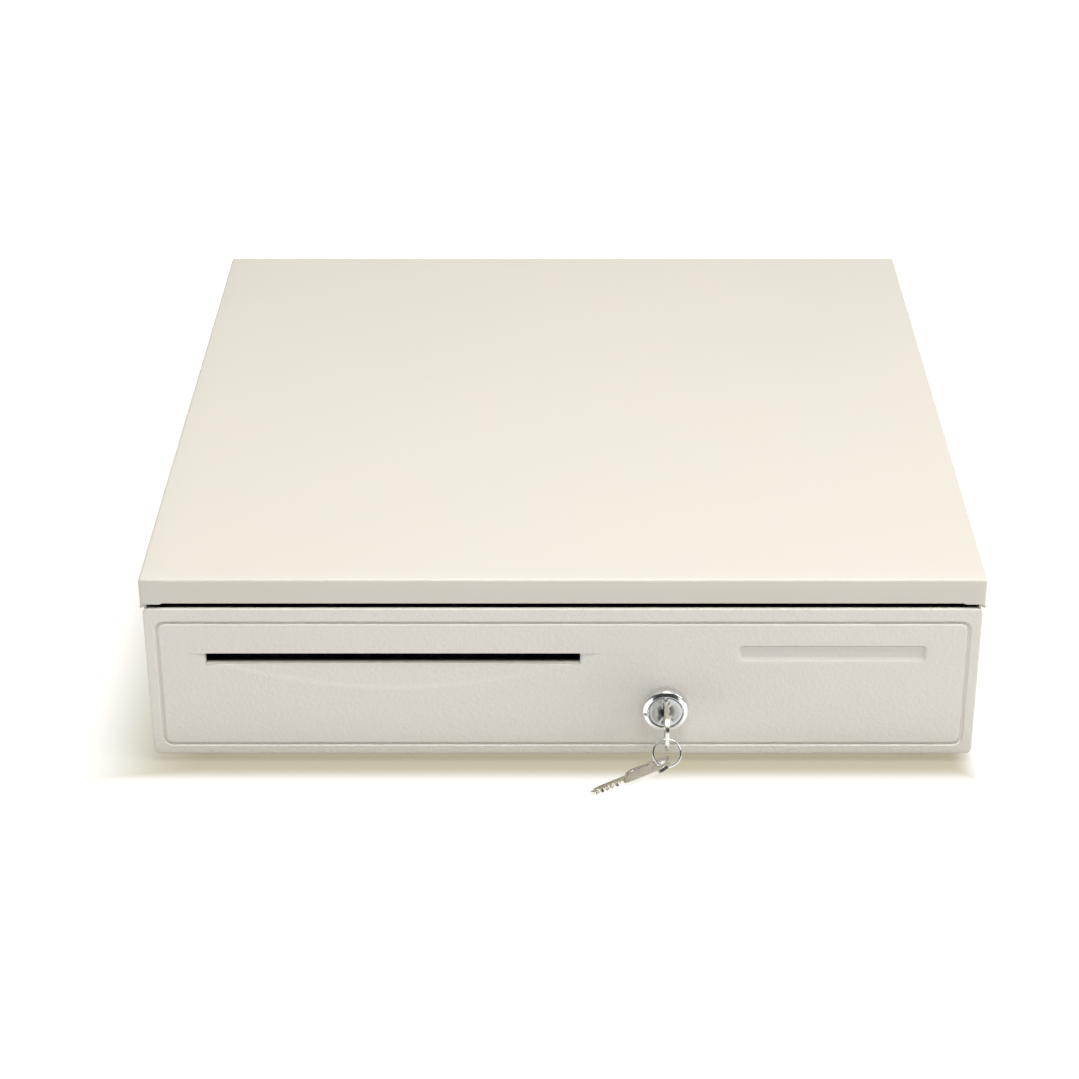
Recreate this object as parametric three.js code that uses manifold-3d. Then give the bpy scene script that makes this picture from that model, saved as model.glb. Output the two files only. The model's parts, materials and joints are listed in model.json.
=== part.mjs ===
// A 410-class steel cash drawer: folded steel casing, telescopic slides, moulded front panel,
// till tray with hinged note clips, electric latch and a key lock with its key ring.
// Millimetres. Origin: centre of the base plate's underside. +X right, -Y front, +Z up.
import * as THREE from "three";
import { mergeVertices } from "three/addons/utils/BufferGeometryUtils.js";
import Module from "manifold-3d";

const wasm = await Module();
wasm.setup();

// ---- driving dimensions ----
const CASE_W = 410;
const CASE_D = 415;
const CASE_H = 100.7;
const SHEET = 1.2;
const LIP_H = 13.6;
const GAP_UNDER_LIP = 2.5;
const FOOT_H = 3;
const FOOT_R = 11;
const FOOT_X = 176.5;
const FOOT_FRONT_Y = -190;
const FOOT_REAR_Y = 180;

const PANEL_W = 408;
const PANEL_DEPTH = 11.2;
const PANEL_SKIN = 3;
const PANEL_RIM = 2.2;
const PANEL_BOTTOM = 1.5;
const PANEL_STEP = 8;
const GROOVE_HALF_W = 198;
const GROOVE_BOTTOM = 7.6;
const GROOVE_TOP = 76.6;
const GROOVE_W = 2.4;
const GROOVE_DEPTH = 1.2;
const LABEL_LEFT = 86;
const LABEL_RIGHT = 177.8;
const LABEL_BOTTOM = 55.3;
const LABEL_TOP = 63.6;
const SCOOP_LEFT = -185.8;
const SCOOP_RIGHT = 21.4;
const SCOOP_SAG = 20.6;
const SCOOP_DEPTH = 1.6;

const PAN_W = 378.4;
const PAN_SHEET = 1;
const PAN_FLOOR = 5.6;
const PAN_TOP = 79;
const PAN_BACK = 150;

const SLIDE_Z = 43.5;
const SLIDE_H = 35;
const SLIDE_LENGTH = 345;
const SLIDE_WALL = 1.2;

const SLOT_LEFT = -174.8;
const SLOT_RIGHT = 8.5;
const SLOT_TOP = 59.5;
const SLOT_H = 4.1;

const LOCK_X = 50.7;
const LOCK_Z = 28.7;
const LOCK_BEZEL_R = 11.55;
const LOCK_BODY_R = 9.5;
const PLUG_FACE_R = 8.3;
const PLUG_R = 6.5;
const LOCK_FRONT = 5;

const KEY_THICK = 1.8;
const KEY_LENGTH = 42.5;
const BOW_LENGTH = 24;
const BOW_W = 18;
const BLADE_W = 7;
const KEY_END = 30.5;
const RING_R = 6.8;
const WIRE_R = 0.7;
const RING_TILT = 31;
const RING_DROP = 2.6;

const BAYS = 5;
const CUP_COLUMNS = 4;
const CUP_ROWS = 2;
const TRAY_W = 373;
const TRAY_FRONT = -182;
const TRAY_BACK = 145;
const TRAY_BOTTOM = 18.5;
const TRAY_TOP = 75;
const TRAY_WALL = 2.2;
const BAY_FRONT = -64;
const AXLE_Y = 126;
const AXLE_Z = 66;
const AXLE_R = 2;

const LATCH_Y = 178;
const LATCH_Z = 66;
const CLEAR = 0.3;
const SCREW_R = 1.5;
const SCREW_HOLE_R = 1.8;
const SCREW_HEAD_R = 3.4;

// ---- places worked out from them ----
const FRONT_Y = -CASE_D / 2;
const BACK_Y = CASE_D / 2;
const SIDE_X = CASE_W / 2;
const LIP_BOTTOM = CASE_H - LIP_H;
const PANEL_TOP = LIP_BOTTOM - GAP_UNDER_LIP;
const PANEL_BACK_Y = FRONT_Y + PANEL_DEPTH;
const PAN_FRONT_Y = PANEL_BACK_Y + CLEAR;
const BASE_X = SIDE_X - SHEET - 0.2;
const RAIL_OUT_X = BASE_X - SHEET;
const PAN_X = PAN_W / 2;
const PLUG_FACE_Y = FRONT_Y - LOCK_FRONT;
const CAM_Y = PAN_FRONT_Y + PAN_SHEET + 4.6;
const CAM_THICK = 2;
const CAM_REACH = 26;
const HOLE_Y = FRONT_Y - 25;

// ---- materials ----
function finish(color, roughness, metalness) {
  return new THREE.MeshStandardMaterial({ color, roughness, metalness });
}
const creamPaint = () => finish(0xefe9da, 0.5, 0.1);
const warmPlastic = () => finish(0xd8d1c8, 0.6, 0);
const zincSteel = () => finish(0xb4b7ba, 0.4, 0.9);
const chrome = () => finish(0xdadde0, 0.12, 1);
const nickelBrass = () => finish(0xd9d3c2, 0.25, 1);
const blackPlastic = () => finish(0x1d1d1f, 0.5, 0);
const blackRubber = () => finish(0x18181a, 0.9, 0);
const copperCoil = () => finish(0x8a3b1c, 0.4, 0.5);
const greyPlastic = () => finish(0x33353a, 0.55, 0);
const springSteel = () => finish(0x8f9499, 0.3, 1);

// ---- solids ----
function toSolid(geometry) {
  const bare = geometry.clone();
  bare.deleteAttribute("normal");
  bare.deleteAttribute("uv");
  const merged = mergeVertices(bare, 1e-4);
  const vertProperties = new Float32Array(merged.attributes.position.array);
  const triVerts = new Uint32Array(merged.index.array);
  return new wasm.Manifold(new wasm.Mesh({ numProp: 3, vertProperties, triVerts }));
}

function toGeometry(solid) {
  const mesh = solid.getMesh();
  const geometry = new THREE.BufferGeometry();
  geometry.setAttribute("position", new THREE.BufferAttribute(new Float32Array(mesh.vertProperties), 3));
  geometry.setIndex(new THREE.BufferAttribute(new Uint32Array(mesh.triVerts), 1));
  geometry.computeVertexNormals();
  return geometry;
}

// A box between two corners.
function box(x0, x1, y0, y1, z0, z1) {
  const geometry = new THREE.BoxGeometry(x1 - x0, y1 - y0, z1 - z0);
  geometry.translate((x0 + x1) / 2, (y0 + y1) / 2, (z0 + z1) / 2);
  return toSolid(geometry);
}

// A disc along Y, centred on (x, z).
function rodY(x, z, radius, y0, y1, sides = 24) {
  const geometry = new THREE.CylinderGeometry(radius, radius, y1 - y0, sides);
  geometry.translate(x, (y0 + y1) / 2, z);
  return toSolid(geometry);
}

// A disc along Z, centred on (x, y).
function rodZ(x, y, radius, z0, z1, sides = 24) {
  const geometry = new THREE.CylinderGeometry(radius, radius, z1 - z0, sides);
  geometry.rotateX(Math.PI / 2);
  geometry.translate(x, y, (z0 + z1) / 2);
  return toSolid(geometry);
}

// A disc along X, centred on (y, z).
function rodX(y, z, radius, x0, x1, sides = 24) {
  const geometry = new THREE.CylinderGeometry(radius, radius, x1 - x0, sides);
  geometry.rotateZ(Math.PI / 2);
  geometry.translate((x0 + x1) / 2, y, z);
  return toSolid(geometry);
}

// An outline of (x, z) points pushed along Y from y0 to y1.
function prismY(shape, y0, y1, curveSegments = 3) {
  const options = { depth: y1 - y0, bevelEnabled: false, curveSegments };
  const geometry = new THREE.ExtrudeGeometry(shape, options);
  geometry.rotateX(Math.PI / 2);
  geometry.translate(0, y1, 0);
  return toSolid(geometry);
}

// An outline of (y, z) points pushed along X from x0 to x1.
function prismX(shape, x0, x1, curveSegments = 3) {
  const options = { depth: x1 - x0, bevelEnabled: false, curveSegments };
  const geometry = new THREE.ExtrudeGeometry(shape, options);
  geometry.rotateY(Math.PI / 2);
  geometry.rotateX(Math.PI / 2);
  geometry.translate(x0, 0, 0);
  return toSolid(geometry);
}

function outline(points) {
  return new THREE.Shape(points.map(([a, b]) => new THREE.Vector2(a, b)));
}

function roundedRect(a0, a1, b0, b1, r) {
  const shape = new THREE.Shape();
  shape.moveTo(a0 + r, b0);
  shape.lineTo(a1 - r, b0);
  shape.absarc(a1 - r, b0 + r, r, -Math.PI / 2, 0, false);
  shape.lineTo(a1, b1 - r);
  shape.absarc(a1 - r, b1 - r, r, 0, Math.PI / 2, false);
  shape.lineTo(a0 + r, b1);
  shape.absarc(a0 + r, b1 - r, r, Math.PI / 2, Math.PI, false);
  shape.lineTo(a0, b0 + r);
  shape.absarc(a0 + r, b0 + r, r, Math.PI, Math.PI * 1.5, false);
  return shape;
}

const drawer = new THREE.Group();

function part(name, solid, material, parent = drawer) {
  const mesh = new THREE.Mesh(toGeometry(solid), material);
  mesh.name = name;
  parent.add(mesh);
  return mesh;
}

// ---- casing ----
const REAR_SCREWS = [-180, -95, 95, 180];
const REAR_SCREW_Z = 8;
const FLANGE_X = 194;
const FLANGE_REACH = 9;
const SOCKET_X = 121;
const SOCKET_Z = 26;
// Folded cover: top, two sides, rear and a shallow front lip with a return flange.
function caseCover() {
  let cover = box(-SIDE_X, SIDE_X, FRONT_Y, BACK_Y, 0, CASE_H);
  const inside = SIDE_X - SHEET;
  cover = cover.subtract(box(-inside, inside, FRONT_Y + SHEET, BACK_Y - SHEET, -1, CASE_H - SHEET));
  cover = cover.subtract(box(-inside, inside, FRONT_Y - 1, FRONT_Y + SHEET + 1, -1, LIP_BOTTOM));
  const notchTop = PANEL_TOP + 0.7;
  cover = cover.subtract(box(-SIDE_X - 1, SIDE_X + 1, FRONT_Y - 1, PANEL_BACK_Y + 0.6, -1, notchTop));
  const flangeY = [FRONT_Y + SHEET / 2, FRONT_Y + FLANGE_REACH];
  cover = cover.add(box(-FLANGE_X, FLANGE_X, ...flangeY, LIP_BOTTOM, LIP_BOTTOM + SHEET));
  const through = [BACK_Y - 3, BACK_Y + 1];
  cover = cover.subtract(box(SOCKET_X - 9, SOCKET_X + 9, ...through, SOCKET_Z - 8, SOCKET_Z + 8));
  for (const x of REAR_SCREWS) {
    cover = cover.subtract(rodY(x, REAR_SCREW_Z, SCREW_HOLE_R, ...through, 12));
  }
  return cover;
}

// A stiffening bead pressed upward in a rectangle round the base plate's middle.
const BEAD_X = 140;
const BEAD_Y = 120;
const BEAD_W = 6;
const BEAD_H = 0.5;
function frameOf(x, y, width, z0, z1) {
  const inner = box(-x + width, x - width, -y + width, y - width, z0 - 1, z1 + 1);
  return box(-x, x, -y, y, z0, z1).subtract(inner);
}

// Base plate with tall side flanges for the slides and a rear flange.
const REAR_FLANGE_X = 195;
const REAR_FLANGE_TOP = 14;
function caseBase() {
  let base = box(-BASE_X, BASE_X, FRONT_Y + 4.5, BACK_Y - SHEET - 0.2, 0, SHEET);
  base = base.add(frameOf(BEAD_X + 1, BEAD_Y + 1, BEAD_W + 2, SHEET / 2, SHEET + BEAD_H));
  base = base.subtract(frameOf(BEAD_X, BEAD_Y, BEAD_W, -1, BEAD_H));
  const railFront = PANEL_BACK_Y + 6;
  for (const side of [-1, 1]) {
    const x0 = Math.min(side * BASE_X, side * RAIL_OUT_X);
    base = base.add(box(x0, x0 + SHEET, railFront, BACK_Y - 12, SHEET / 2, SLIDE_Z + SLIDE_H / 2 + 4));
  }
  const rearY = [BACK_Y - 2 * SHEET - 0.2, BACK_Y - SHEET - 0.2];
  base = base.add(box(-REAR_FLANGE_X, REAR_FLANGE_X, ...rearY, SHEET / 2, REAR_FLANGE_TOP));
  for (const x of [-FOOT_X, FOOT_X]) {
    for (const y of [FOOT_FRONT_Y, FOOT_REAR_Y]) {
      base = base.subtract(rodZ(x, y, SCREW_HOLE_R, -1, 3, 12));
    }
  }
  for (const x of REAR_SCREWS) {
    base = base.subtract(rodY(x, REAR_SCREW_Z, SCREW_HOLE_R, BACK_Y - 6, BACK_Y, 12));
  }
  return base;
}

// A round rubber pad with a counterbored hole for its screw.
const FOOT_BORE_R = 4.2;
const FOOT_WEB = 1.4;
function foot() {
  const pad = rodZ(0, 0, FOOT_R, -FOOT_H, 0, 20);
  const counterbore = rodZ(0, 0, FOOT_BORE_R, -FOOT_H - 1, -FOOT_WEB, 16);
  return pad.subtract(rodZ(0, 0, SCREW_HOLE_R, -FOOT_H - 1, 1, 12)).subtract(counterbore);
}

// A pan-head screw with its head at the origin, pointing along +Z.
function screw(headR, headH, shankR, length) {
  const head = rodZ(0, 0, headR, -headH, 0, 16);
  const shank = rodZ(0, 0, shankR, -headH / 2, length, 10);
  const drive = box(-headR * 0.6, headR * 0.6, -0.35, 0.35, -headH - 1, -headH + 0.5);
  return head.add(shank).subtract(drive);
}

function footScrew() {
  return screw(SCREW_HEAD_R, 1.2, SCREW_R, 4.2);
}

part("case_cover", caseCover(), creamPaint());
part("case_base", caseBase(), creamPaint());
const FEET = [
  ["fl", -FOOT_X, FOOT_FRONT_Y],
  ["fr", FOOT_X, FOOT_FRONT_Y],
  ["rl", -FOOT_X, FOOT_REAR_Y],
  ["rr", FOOT_X, FOOT_REAR_Y],
];
for (const [corner, x, y] of FEET) {
  part(`foot_${corner}`, foot(), blackRubber()).position.set(x, y, 0);
  part(`foot_screw_${corner}`, footScrew(), zincSteel()).position.set(x, y, -FOOT_WEB);
}
REAR_SCREWS.forEach((x, i) => {
  const mesh = part(`case_screw_${i + 1}`, screw(SCREW_HEAD_R, 1.6, SCREW_R, 6), zincSteel());
  mesh.position.set(x, BACK_Y, REAR_SCREW_Z);
  mesh.rotation.x = Math.PI / 2;
});

// ---- telescopic slides ----
// A C-shaped rail along Y: web at x = 0, flanges reaching to x = depth.
function channel(height, depth, y0, y1) {
  const h = height / 2;
  const w = SLIDE_WALL;
  const lower = [[0, -h], [depth, -h], [depth, -h + w], [w, -h + w]];
  const upper = [[w, h - w], [depth, h - w], [depth, h], [0, h]];
  return prismY(outline([...lower, ...upper]), y0, y1);
}

const SLIDE_Y0 = PANEL_BACK_Y + 7;
const OUTER_X = RAIL_OUT_X - 0.2;
function slidePair(name, height, depth, webX, inward, length) {
  for (const [hand, side] of [["left", -1], ["right", 1]]) {
    const mesh = part(`${name}_${hand}`, channel(height, depth, 0, length), zincSteel());
    mesh.position.set(side * webX, SLIDE_Y0, SLIDE_Z);
    const turn = side * inward > 0 ? Math.PI : 0;
    if (turn) {
      mesh.rotation.z = Math.PI;
      mesh.position.y = SLIDE_Y0 + length;
    }
  }
}
slidePair("slide_outer", SLIDE_H, 10.6, OUTER_X, 1, SLIDE_LENGTH);
slidePair("slide_middle", SLIDE_H - 6, 7.4, OUTER_X - 3, 1, SLIDE_LENGTH);
slidePair("slide_inner", SLIDE_H - 14, 5.6, PAN_X + 0.2, -1, SLIDE_LENGTH - 4);

// ---- drawer pan and front panel ----
const SCREW_X = 181;
const SCREW_ZS = [14, 70];
function drawerPan() {
  let pan = box(-PAN_X, PAN_X, PAN_FRONT_Y, PAN_BACK, PAN_FLOOR, PAN_TOP);
  const t = PAN_SHEET;
  const insideY = [PAN_FRONT_Y + t, PAN_BACK - t];
  pan = pan.subtract(box(-PAN_X + t, PAN_X - t, ...insideY, PAN_FLOOR + t, PAN_TOP + 1));
  const front = [PAN_FRONT_Y - 1, PAN_FRONT_Y + 2];
  const slotZ = [SLOT_TOP - SLOT_H - 6, SLOT_TOP + 3];
  pan = pan.subtract(box(SLOT_LEFT - 5, SLOT_RIGHT + 5, ...front, ...slotZ));
  pan = pan.subtract(rodY(LOCK_X, LOCK_Z, LOCK_BODY_R + 0.2, ...front));
  const camY = [CAM_Y - 0.8, CAM_Y + CAM_THICK + 0.8];
  pan = pan.subtract(box(LOCK_X - 6.5, LOCK_X + 22, ...camY, PAN_FLOOR - 1, PAN_FLOOR + 2));
  for (const x of [-SCREW_X, SCREW_X]) {
    for (const z of SCREW_ZS) {
      pan = pan.subtract(rodY(x, z, SCREW_HOLE_R, ...front, 12));
    }
  }
  return pan;
}

// The lens-shaped finger scoop under the slot: a straight top edge and a shallow arc below it.
function scoopShape() {
  const half = (SCOOP_RIGHT - SCOOP_LEFT) / 2;
  const radius = (half * half + SCOOP_SAG * SCOOP_SAG) / (2 * SCOOP_SAG);
  const cx = (SCOOP_LEFT + SCOOP_RIGHT) / 2;
  const cz = SLOT_TOP - SCOOP_SAG + radius;
  const reach = Math.atan2(half, cz - SLOT_TOP);
  const shape = new THREE.Shape();
  shape.absarc(cx, cz, radius, -Math.PI / 2 - reach, -Math.PI / 2 + reach, false);
  return shape;
}

// The groove that frames the face.
function faceGroove() {
  const half = GROOVE_W / 2;
  function loop(offset, r) {
    const x = GROOVE_HALF_W + offset;
    return roundedRect(-x, x, GROOVE_BOTTOM - offset, GROOVE_TOP + offset, r);
  }
  const outer = prismY(loop(half, 5), FRONT_Y - 1, FRONT_Y + GROOVE_DEPTH);
  return outer.subtract(prismY(loop(-half, 2.6), FRONT_Y - 2, FRONT_Y + 2));
}

// A moulded shell: face skin, side and bottom rims, and a top rim set down behind the skin's edge.
const BOSS_R = 4.5;
const PILOT_R = 1.7;
function frontPanel() {
  const halfW = PANEL_W / 2;
  const shell = roundedRect(-halfW, halfW, PANEL_BOTTOM, PANEL_TOP, 2);
  let panel = prismY(shell, FRONT_Y, PANEL_BACK_Y);
  const stepZ = PANEL_TOP - PANEL_STEP;
  const behindSkin = [FRONT_Y + PANEL_SKIN, PANEL_BACK_Y + 1];
  const hollowX = [-halfW + PANEL_RIM, halfW - PANEL_RIM];
  const hollow = roundedRect(...hollowX, PANEL_BOTTOM + PANEL_RIM, stepZ - PANEL_RIM, 1.5);
  panel = panel.subtract(prismY(hollow, ...behindSkin));
  panel = panel.subtract(box(-halfW - 1, halfW + 1, ...behindSkin, stepZ, PANEL_TOP + 1));
  for (const x of [-SCREW_X, SCREW_X]) {
    for (const z of SCREW_ZS) {
      panel = panel.add(rodY(x, z, BOSS_R, FRONT_Y + 2, PANEL_BACK_Y, 16));
      panel = panel.subtract(rodY(x, z, PILOT_R, FRONT_Y + 4, PANEL_BACK_Y + 1, 12));
    }
  }
  panel = panel.subtract(faceGroove());
  panel = panel.subtract(prismY(scoopShape(), FRONT_Y - 1, FRONT_Y + SCOOP_DEPTH, 16));
  const slot = roundedRect(SLOT_LEFT, SLOT_RIGHT, SLOT_TOP - SLOT_H, SLOT_TOP, 1);
  panel = panel.subtract(prismY(slot, FRONT_Y - 1, FRONT_Y + PANEL_SKIN + 1));
  const label = roundedRect(LABEL_LEFT, LABEL_RIGHT, LABEL_BOTTOM, LABEL_TOP, 1.5);
  panel = panel.subtract(prismY(label, FRONT_Y - 1, FRONT_Y + GROOVE_DEPTH));
  return panel.subtract(rodY(LOCK_X, LOCK_Z, LOCK_BODY_R + 0.2, FRONT_Y - 1, PANEL_BACK_Y + 1));
}

// A folded chute behind the slot that turns media down in front of the till.
const CHUTE_DEPTH = 10.5;
const CHUTE_BOTTOM = 42;
function mediaChute() {
  const y = PAN_FRONT_Y + PAN_SHEET + 0.2;
  const rear = y + CHUTE_DEPTH;
  const upper = [[rear, SLOT_TOP + 1.1], [y + 1, SLOT_TOP + 7.9], [y, SLOT_TOP + 7.9]];
  const under = [[y, SLOT_TOP + 5.5], [y + 1, SLOT_TOP + 5.5], [y + 1, SLOT_TOP + 6.5]];
  const drop = [[rear - 1, SLOT_TOP + 0.5], [rear - 1, CHUTE_BOTTOM], [rear, CHUTE_BOTTOM]];
  return prismX(outline([...under, ...drop, ...upper]), SLOT_LEFT - 4, SLOT_RIGHT + 4);
}

part("drawer_pan", drawerPan(), zincSteel());
part("front_panel", frontPanel(), warmPlastic());
part("media_chute", mediaChute(), zincSteel());
let screwNumber = 1;
for (const x of [-SCREW_X, SCREW_X]) {
  for (const z of SCREW_ZS) {
    const mesh = part(`panel_screw_${screwNumber}`, screw(3.2, 1.6, SCREW_R, 8), zincSteel());
    mesh.position.set(x, PAN_FRONT_Y + PAN_SHEET, z);
    mesh.rotation.x = Math.PI / 2;
    screwNumber += 1;
  }
}

// ---- till ----
// Angle brackets on the pan's side walls that hold the till above the media space.
const LEDGE_LENGTH = 300;
const LEDGE_FRONT = -165;
const LEDGE_H = 11.9;
function tillLedge() {
  const leg = box(0, 12, 0, LEDGE_LENGTH, LEDGE_H - 1, LEDGE_H);
  return leg.add(box(0, 1, 0, LEDGE_LENGTH, 0, LEDGE_H));
}
for (const [hand, side] of [["left", -1], ["right", 1]]) {
  const mesh = part(`till_ledge_${hand}`, tillLedge(), zincSteel());
  const start = side < 0 ? LEDGE_FRONT : LEDGE_FRONT + LEDGE_LENGTH;
  mesh.position.set(side * (PAN_X - PAN_SHEET), start, PAN_FLOOR + PAN_SHEET);
  mesh.rotation.z = side < 0 ? 0 : Math.PI;
}

const TRAY_X = TRAY_W / 2;
const TRAY_FLOOR = TRAY_BOTTOM + TRAY_WALL;
function bayX(i) {
  const inner = TRAY_X - TRAY_WALL;
  return -inner + (i * 2 * inner) / BAYS;
}

// The till tub: coins in front of a low cross wall, notes behind it.
const CROSS_WALL_TOP = 64;
function tillTray() {
  const w = TRAY_WALL;
  const insideX = [-TRAY_X + w, TRAY_X - w];
  let tray = box(-TRAY_X, TRAY_X, TRAY_FRONT, TRAY_BACK, TRAY_BOTTOM, TRAY_TOP);
  tray = tray.subtract(box(...insideX, BAY_FRONT, TRAY_BACK - w, TRAY_FLOOR, TRAY_TOP + 1));
  tray = tray.subtract(box(...insideX, TRAY_FRONT + w, BAY_FRONT - w, TRAY_FLOOR, TRAY_TOP + 1));
  tray = tray.subtract(box(...insideX, BAY_FRONT - w - 1, BAY_FRONT + 1, CROSS_WALL_TOP, TRAY_TOP + 1));
  tray = tray.subtract(rodX(AXLE_Y, AXLE_Z, AXLE_R + CLEAR, -TRAY_X - 1, TRAY_X + 1, 16));
  return tray;
}

// A removable bay divider with a notch for the clip axle.
function noteDivider() {
  const y1 = TRAY_BACK - TRAY_WALL - 0.6;
  const wall = box(-1, 1, BAY_FRONT + 0.6, y1, TRAY_FLOOR + 0.2, TRAY_TOP - 3);
  const room = AXLE_R + CLEAR;
  return wall.subtract(box(-2, 2, AXLE_Y - room, AXLE_Y + room, AXLE_Z - room, TRAY_TOP));
}

// Coin cups: rounded scoops in a block, two rows of four.
const COIN_TOP = 62;
function coinTray() {
  const x = TRAY_X - TRAY_WALL - 0.6;
  const y0 = TRAY_FRONT + TRAY_WALL + 0.6;
  const y1 = BAY_FRONT - TRAY_WALL - 0.6;
  const wall = 1.8;
  let block = box(-x, x, y0, y1, TRAY_FLOOR + 0.2, COIN_TOP);
  const cupW = (2 * x - wall * (CUP_COLUMNS + 1)) / CUP_COLUMNS;
  const cupD = (y1 - y0 - wall * (CUP_ROWS + 1)) / CUP_ROWS;
  for (let column = 0; column < CUP_COLUMNS; column += 1) {
    for (let row = 0; row < CUP_ROWS; row += 1) {
      const cx = -x + wall + column * (cupW + wall);
      const cy = y0 + wall + row * (cupD + wall);
      const bowl = roundedRect(cy, cy + cupD, TRAY_FLOOR + 2, COIN_TOP + 30, cupD * 0.4);
      block = block.subtract(prismX(bowl, cx, cx + cupW, 5));
    }
  }
  return block;
}

// A note clip: hub round the axle, sloping arm and an upturned toe.
const CLIP_REACH = 104;
const CLIP_DROP = 38;
const CLIP_HUB_R = 4;
const CLIP_HALF_W = 6;
function noteClip() {
  const hub = rodX(0, 0, CLIP_HUB_R, -8, 8, 20);
  const toe = [[-CLIP_REACH - 6, -CLIP_DROP + 5], [-CLIP_REACH - 7, -CLIP_DROP + 3.4]];
  const top = [[-1, 1], [-CLIP_REACH, -CLIP_DROP + 2]];
  const arm = outline([...top, ...toe, [-CLIP_REACH, -CLIP_DROP], [-1, -2]]);
  const solid = hub.add(prismX(arm, -CLIP_HALF_W, CLIP_HALF_W));
  return solid.subtract(rodX(0, 0, AXLE_R + 0.05, -9, 9, 20));
}

part("till_tray", tillTray(), greyPlastic());
part("coin_tray", coinTray(), greyPlastic());
for (let i = 1; i < BAYS; i += 1) {
  part(`note_divider_${i}`, noteDivider(), greyPlastic()).position.x = bayX(i);
}
part("clip_axle", rodX(AXLE_Y, AXLE_Z, AXLE_R, -TRAY_X, TRAY_X, 20), zincSteel());
for (let i = 0; i < BAYS; i += 1) {
  const mesh = part(`note_clip_${i + 1}`, noteClip(), blackPlastic());
  mesh.position.set((bayX(i) + bayX(i + 1)) / 2, AXLE_Y, AXLE_Z);
}

// ---- latch at the rear ----
// Striker: an angle on the pan's rear wall whose raised leg the latch tooth hooks.
const STRIKER_HALF = 9;
const STRIKER_REACH = 12.6;
const STRIKER_SHELF_Z = 44;
const STRIKER_TOP = 55;
function striker() {
  const start = PAN_BACK + 0.2;
  const end = PAN_BACK + STRIKER_REACH;
  const x = [-STRIKER_HALF, STRIKER_HALF];
  const foot = box(...x, start, start + SHEET, STRIKER_SHELF_Z - 6, STRIKER_SHELF_Z + 6);
  const shelf = box(...x, start, end, STRIKER_SHELF_Z, STRIKER_SHELF_Z + 1.4);
  return foot.add(shelf).add(box(...x, end - 1.4, end, STRIKER_SHELF_Z, STRIKER_TOP));
}

// Bracket: two cheeks that carry the lever's pin, on a foot bolted to the base plate.
const PIN_R = 1.5;
const CHEEK_X = 16;
const CHEEK_T = 1.6;
const CHEEK_Y = [170, 184];
function latchBracket() {
  let bracket = box(-CHEEK_X, CHEEK_X, ...CHEEK_Y, SHEET + 0.2, SHEET + 1.8);
  for (const x of [-CHEEK_X, CHEEK_X - CHEEK_T]) {
    bracket = bracket.add(box(x, x + CHEEK_T, ...CHEEK_Y, SHEET + 1, LATCH_Z + 6));
  }
  const rivetHead = rodX(LATCH_Y, LATCH_Z, PIN_R + 1.1, -CHEEK_X - 1.4, -CHEEK_X + 0.5, 16);
  return bracket.add(rodX(LATCH_Y, LATCH_Z, PIN_R, -CHEEK_X - 1, CHEEK_X + 1, 16)).add(rivetHead);
}

// Lever: a flat bar on the pin, a tooth at the front and a fork round the plunger at the rear.
const TOOTH_REACH = 23;
const TOOTH_DROP = 9;
const FORK_REACH = 17.5;
const FORK_HALF = 3.2;
const LEVER_HALF = 6;
function latchLever() {
  const x = [-LEVER_HALF, LEVER_HALF];
  let lever = box(...x, -TOOTH_REACH, FORK_REACH + 4, -1, 1);
  lever = lever.add(rodX(0, 0, 3.5, -CHEEK_X + 2.4, CHEEK_X - 2.4, 20));
  lever = lever.add(box(...x, -TOOTH_REACH, -TOOTH_REACH + 2.6, -TOOTH_DROP, 0));
  lever = lever.subtract(box(-FORK_HALF, FORK_HALF, FORK_REACH - 3.2, FORK_REACH + 9, -4, 4));
  return lever.subtract(rodX(0, 0, PIN_R + 0.06, -CHEEK_X, CHEEK_X, 20));
}

const COIL_Y = LATCH_Y + FORK_REACH;
const COIL_BOTTOM = 10;
const COIL_TOP = 48;
function solenoidFrame() {
  const y0 = COIL_Y - 9.1;
  const y1 = COIL_Y + 9.1;
  let frame = box(-13, 13, y0, y1, COIL_BOTTOM, COIL_BOTTOM + 2);
  frame = frame.add(box(-13, 13, y0, y1, COIL_TOP - 2, COIL_TOP));
  frame = frame.add(box(-13, -11, y0, y1, COIL_BOTTOM, COIL_TOP));
  frame = frame.add(box(-12, 12, y0, y0 + 4, SHEET + 0.2, COIL_BOTTOM + 1));
  return frame.subtract(rodZ(0, COIL_Y, 3.6, COIL_TOP - 3, COIL_TOP + 1, 16));
}

function solenoidCoil() {
  const coil = rodZ(0, COIL_Y, 8.8, COIL_BOTTOM + 2.2, COIL_TOP - 2.2, 24);
  return coil.subtract(rodZ(0, COIL_Y, 3.6, COIL_BOTTOM + 6, COIL_TOP, 16));
}

function solenoidPlunger() {
  const body = rodZ(0, COIL_Y, 3.2, COIL_BOTTOM + 8, LATCH_Z - 3, 16);
  const neck = rodZ(0, COIL_Y, 1.8, LATCH_Z - 4, LATCH_Z + 4, 12);
  return body.add(neck).add(rodZ(0, COIL_Y, 4.2, LATCH_Z + 3, LATCH_Z + 5, 16));
}

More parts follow.
